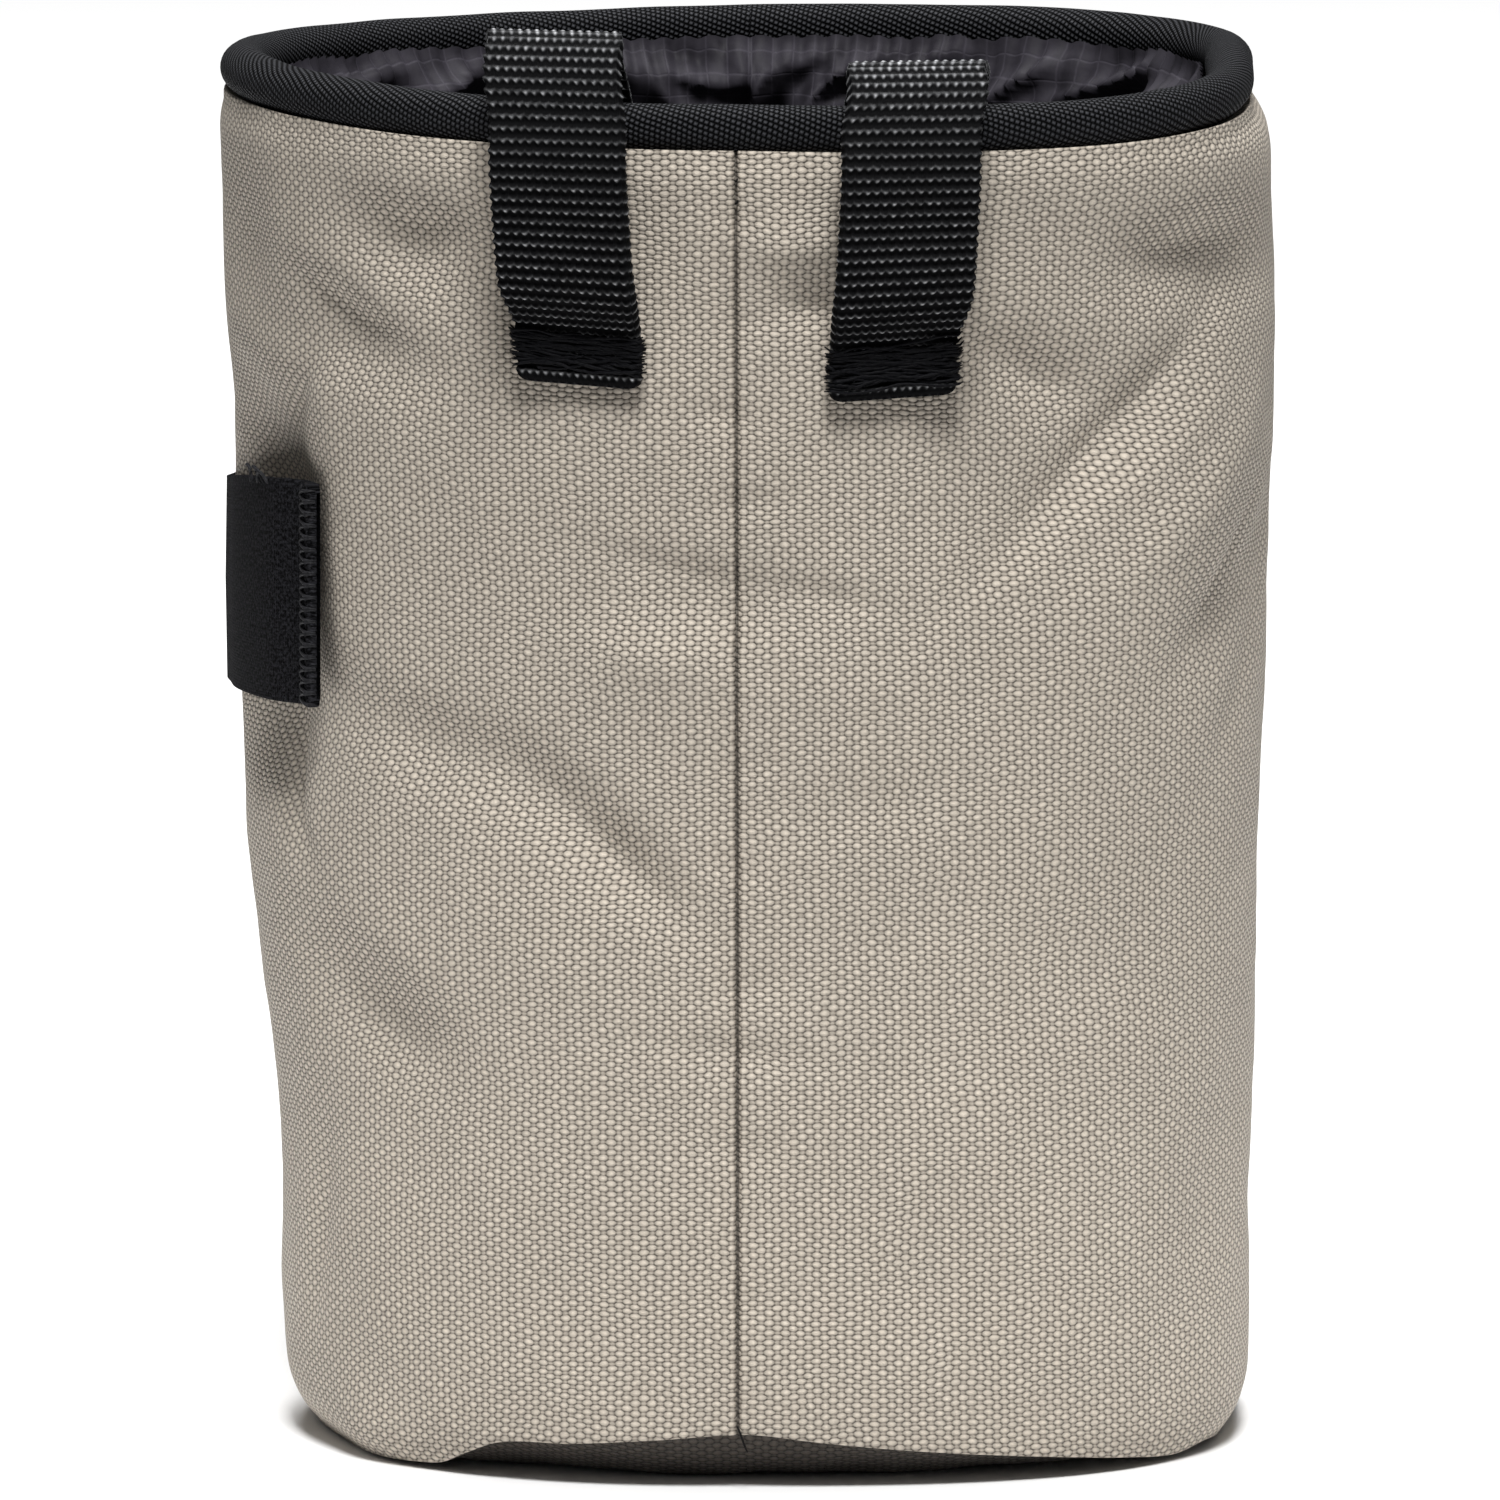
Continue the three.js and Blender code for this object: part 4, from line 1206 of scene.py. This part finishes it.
class CHALKBAG_OT_brush_loop(bpy.types.Operator):
    """Stretch the elastic brush loop over the wall and sew its hems"""

    bl_idname = "chalkbag.brush_loop"
    bl_label = "Brush Loop"

    def route(self, lift):
        """Points along the elastic's middle line, seen from above, with their lengths."""
        heights = ELASTIC_MIDDLE + np.linspace(-0.5, 0.5, 7) * ELASTIC_HEIGHT

        def clear(turn):
            return max(float(wall_radius(turn + beside, up)) for up in heights for beside in (-2, 0, 2))

        start = BRUSH_LOOP_AROUND - BRUSH_LOOP_SPAN / 2
        hem = math.degrees(ELASTIC_HEM / clear(start)) / BRUSH_LOOP_SPAN
        controls = []
        for share in [0, hem, *np.linspace(hem + 0.1, 0.9 - hem, 6), 1 - hem, 1]:
            turn = start + share * BRUSH_LOOP_SPAN
            lifted = float(smoothstep(min(share, 1 - share), hem, hem + 0.1))
            stretched = max(clear(turn), float(full_radius(turn, ELASTIC_MIDDLE)) - 0.6)
            radius = lerp(clear(turn), stretched, lifted) + lift
            controls.append(around(turn, radius, 0.0)[:2])
        return spline_points(controls, 300)

    def sunk_height(self, length, total, up):
        """The height of a place on the elastic, which sinks and narrows towards the back."""
        back = 1 - length / total
        narrowed = up * (1 - ELASTIC_NARROWING * smoothstep(back, 0.1, 0.8))
        return ELASTIC_MIDDLE + narrowed - ELASTIC_SINK * smoothstep(back, 0.0, 1.0)

    def execute(self, context):
        line, lengths = self.route(0.15 + ELASTIC_THICKNESS / 2)
        normals = flat_normals(line)
        middle = len(line) // 2
        if (normals[middle] @ line[middle]) < 0:
            normals = -normals
        half = ELASTIC_HEIGHT / 2
        face = ELASTIC_THICKNESS / 2
        ring_up, ring_lift = strip_outline(half, 90, face, (0.05, 0.12, 0.15, 0.12, 0.05), 6)
        near_end = np.minimum(lengths, lengths[-1] - lengths)[:, None]
        doubled = 0.55 * (1 - smoothstep(near_end, 2.9, 3.5))
        dent = -0.22 * soft_bump(near_end - 2.6, 0.35)
        lift = ring_lift[None, :] + np.where(ring_lift > 0, 1.0, 0.0)[None, :] * (doubled + dent)
        lift = -face + (lift + face) * folded_end(near_end)
        sag = 0.35 * np.sin(lengths / lengths[-1] * math.pi)[:, None] * (np.abs(ring_up) / half)[None, :]
        lift = lift - sag * 0.6
        widest = half + 0.15 - corner_inset(near_end, ELASTIC_CORNER)
        up = np.sign(ring_up) * np.minimum(np.abs(ring_up), widest)
        flat = line[:, None, :] + normals[:, None, :] * lift[..., None]
        sunk = self.sunk_height(lengths[:, None], lengths[-1], up)
        points = np.concatenate([flat, sunk[..., None]], axis=-1)
        uv = np.stack(np.broadcast_arrays(lengths[:, None], up), axis=-1)
        elastic = grid_mesh("brush_loop_elastic", points, uv)
        finish = fine_elastic("fine elastic", linear(50, 50, 54), linear(5, 5, 6))
        dress(elastic, finish, "elastic", "brush_loop")
        self.sew(line, lengths, normals)
        return {"FINISHED"}

    def sew(self, line, lengths, normals):
        """Stitches over each hem, straight ones beside them, and loose ends at the top."""
        paths = []
        total = lengths[-1]

        def at(length, up, lift):
            middle = np.array([np.interp(length, lengths, column) for column in line.T]).T
            normal = np.array([np.interp(length, lengths, column) for column in normals.T]).T
            flat = middle + normal * np.asarray(lift)[..., None]
            height = self.sunk_height(np.asarray(length), total, np.asarray(up))
            return np.concatenate([flat, height[..., None]], axis=-1)

        for flip in (False, True):
            for stitch in np.arange(-12.1, 12.0, 1.4):
                share = np.linspace(-1, 1, 17)
                place = 3.0 * np.cos(share * math.pi / 2) ** 0.8 - 0.14
                length = place if flip else total - place
                height = stitch + 0.45 * np.sin(share * math.pi / 2) + 0.15 * share
                lift = 0.16 - ELASTIC_THICKNESS / 2 + (ELASTIC_THICKNESS + 0.55) * folded_end(place)
                paths.append(at(length, height, lift))
                height = stitch + np.linspace(0, 1.05, 7)
                place = np.full(7, 3.45)
                length = place if flip else total - place
                arch = 0.12 * np.sin(np.linspace(0, math.pi, 7))
                paths.append(at(length, height, ELASTIC_THICKNESS / 2 + 0.28 + arch))
        top = ELASTIC_HEIGHT / 2
        for reach, lean, rise in LOOSE_ENDS:
            share = np.linspace(0, 1, 9)
            height = top - 0.6 + (rise + 0.6) * np.sin(share * 1.9)
            paths.append(at(total - reach + lean * share, height, 0.55 + 0.4 * share))
        thread = sewing_thread("hem thread", linear(60, 60, 63), linear(7, 7, 8))
        stitches = thread_mesh("brush_loop_stitches", paths, 0.2)
        dress(stitches, thread, "elastic")


class CHALKBAG_OT_stitches(bpy.types.Operator):
    """Sew the centre seam and leave its thread ends"""

    bl_idname = "chalkbag.stitches"
    bl_label = "Seam Stitches"

    def execute(self, context):
        paths = []
        for low, lean in ((150.6, 0.5), (153.2, 0.6)):
            share = np.linspace(0, 1, 6)
            angle = SEAM_AROUND + share * lean
            z = low + share * 0.6
            radius = wall_radius(angle, z) + 0.2
            paths.append(around(angle, radius, z))
        share = np.linspace(0, 1, 10)
        hem = float(hem_height(0.0))
        angle = SEAM_AROUND + 0.5 * share + 0.8 * share**2
        z = hem + 1.2 - 2.6 * share + 0.5 * np.sin(share * 4)
        paths.append(around(angle, wall_radius(SEAM_AROUND, hem + 1) + 0.3 * share, z))
        thread = sewing_thread("seam thread", linear(38, 36, 36), linear(12, 12, 12))
        stitches = thread_mesh("seam_stitches", paths, 0.14)
        dress(stitches, thread, "woven_cloth")
        return {"FINISHED"}


class CHALKBAG_OT_stage(bpy.types.Operator):
    """Set the pale floor, the soft lights and the camera"""

    bl_idname = "chalkbag.stage"
    bl_label = "Stage"

    def execute(self, context):
        settings = context.scene.chalkbag_stage
        scene = context.scene
        bpy.ops.mesh.primitive_plane_add(size=1, location=FLOOR_MIDDLE)
        floor = context.object
        floor.scale = FLOOR_SCALE
        floor.name = "studio_floor"
        paint = Finish("studio floor", Roughness=0.9, Specular_IOR_Level=0.1)
        paint.surface.inputs["Base Color"].default_value = (0.92, 0.92, 0.92, 1)
        floor.data.materials.append(paint.material)
        world = bpy.data.worlds.new("studio")
        scene.world = world
        world.use_nodes = True
        background = world.node_tree.nodes["Background"]
        background.inputs["Color"].default_value = (1, 1, 1, 1)
        background.inputs["Strength"].default_value = settings.surround
        lights = (
            ("key", KEY_PLACE, 0.6, settings.key_power),
            ("backdrop", BACKDROP_PLACE, 1.2, settings.key_power * 0.8),
        )
        for name, place, size, power in lights:
            lamp = bpy.data.lights.new(name, "AREA")
            lamp.energy = power
            lamp.size = size
            holder = put_in_scene(name, lamp)
            holder.location = place
            aim = Vector(LIGHT_TARGET) - Vector(place)
            holder.rotation_euler = aim.to_track_quat("-Z", "Y").to_euler()
        camera = bpy.data.cameras.new("camera")
        camera.sensor_width = 36
        camera.lens = LENS_PER_METRE * settings.camera_distance
        camera.clip_end = 50
        holder = put_in_scene("camera", camera)
        target = Vector(CAMERA_TARGET)
        tilt = math.radians(CAMERA_TILT)
        holder.location = target + Vector((0, -math.cos(tilt), math.sin(tilt))) * settings.camera_distance
        holder.rotation_euler = (target - holder.location).to_track_quat("-Z", "Y").to_euler()
        scene.camera = holder
        scene.view_settings.view_transform = "Standard"
        return {"FINISHED"}


class CHALKBAG_PT_panel(bpy.types.Panel):
    """The bag's pieces and their settings"""

    bl_label = "Chalk Bag"
    bl_idname = "CHALKBAG_PT_panel"
    bl_space_type = "VIEW_3D"
    bl_region_type = "UI"
    bl_category = "Chalk Bag"

    def draw(self, context):
        scene = context.scene
        for group in (scene.chalkbag_cloth, scene.chalkbag_loops, scene.chalkbag_stage):
            for name in group.__annotations__:
                self.layout.prop(group, name)
        for operator in OPERATORS:
            self.layout.operator(operator.bl_idname)


GROUPS = (ClothSettings, LoopSettings, StageSettings)
OPERATORS = (
    CHALKBAG_OT_wall,
    CHALKBAG_OT_base,
    CHALKBAG_OT_binding,
    CHALKBAG_OT_lining,
    CHALKBAG_OT_belt_loops,
    CHALKBAG_OT_brush_loop,
    CHALKBAG_OT_stitches,
    CHALKBAG_OT_stage,
)


def register():
    for kind in (*GROUPS, *OPERATORS, CHALKBAG_PT_panel):
        bpy.utils.register_class(kind)
    bpy.types.Scene.chalkbag_cloth = PointerProperty(type=ClothSettings)
    bpy.types.Scene.chalkbag_loops = PointerProperty(type=LoopSettings)
    bpy.types.Scene.chalkbag_stage = PointerProperty(type=StageSettings)


def unregister():
    del bpy.types.Scene.chalkbag_stage
    del bpy.types.Scene.chalkbag_loops
    del bpy.types.Scene.chalkbag_cloth
    for kind in reversed((*GROUPS, *OPERATORS, CHALKBAG_PT_panel)):
        bpy.utils.unregister_class(kind)


def main():
    register()
    bpy.ops.chalkbag.wall()
    bpy.ops.chalkbag.base()
    bpy.ops.chalkbag.binding()
    bpy.ops.chalkbag.lining()
    bpy.ops.chalkbag.belt_loops()
    bpy.ops.chalkbag.brush_loop()
    bpy.ops.chalkbag.stitches()
    bpy.ops.chalkbag.stage()


if __name__ == "__main__":
    main()
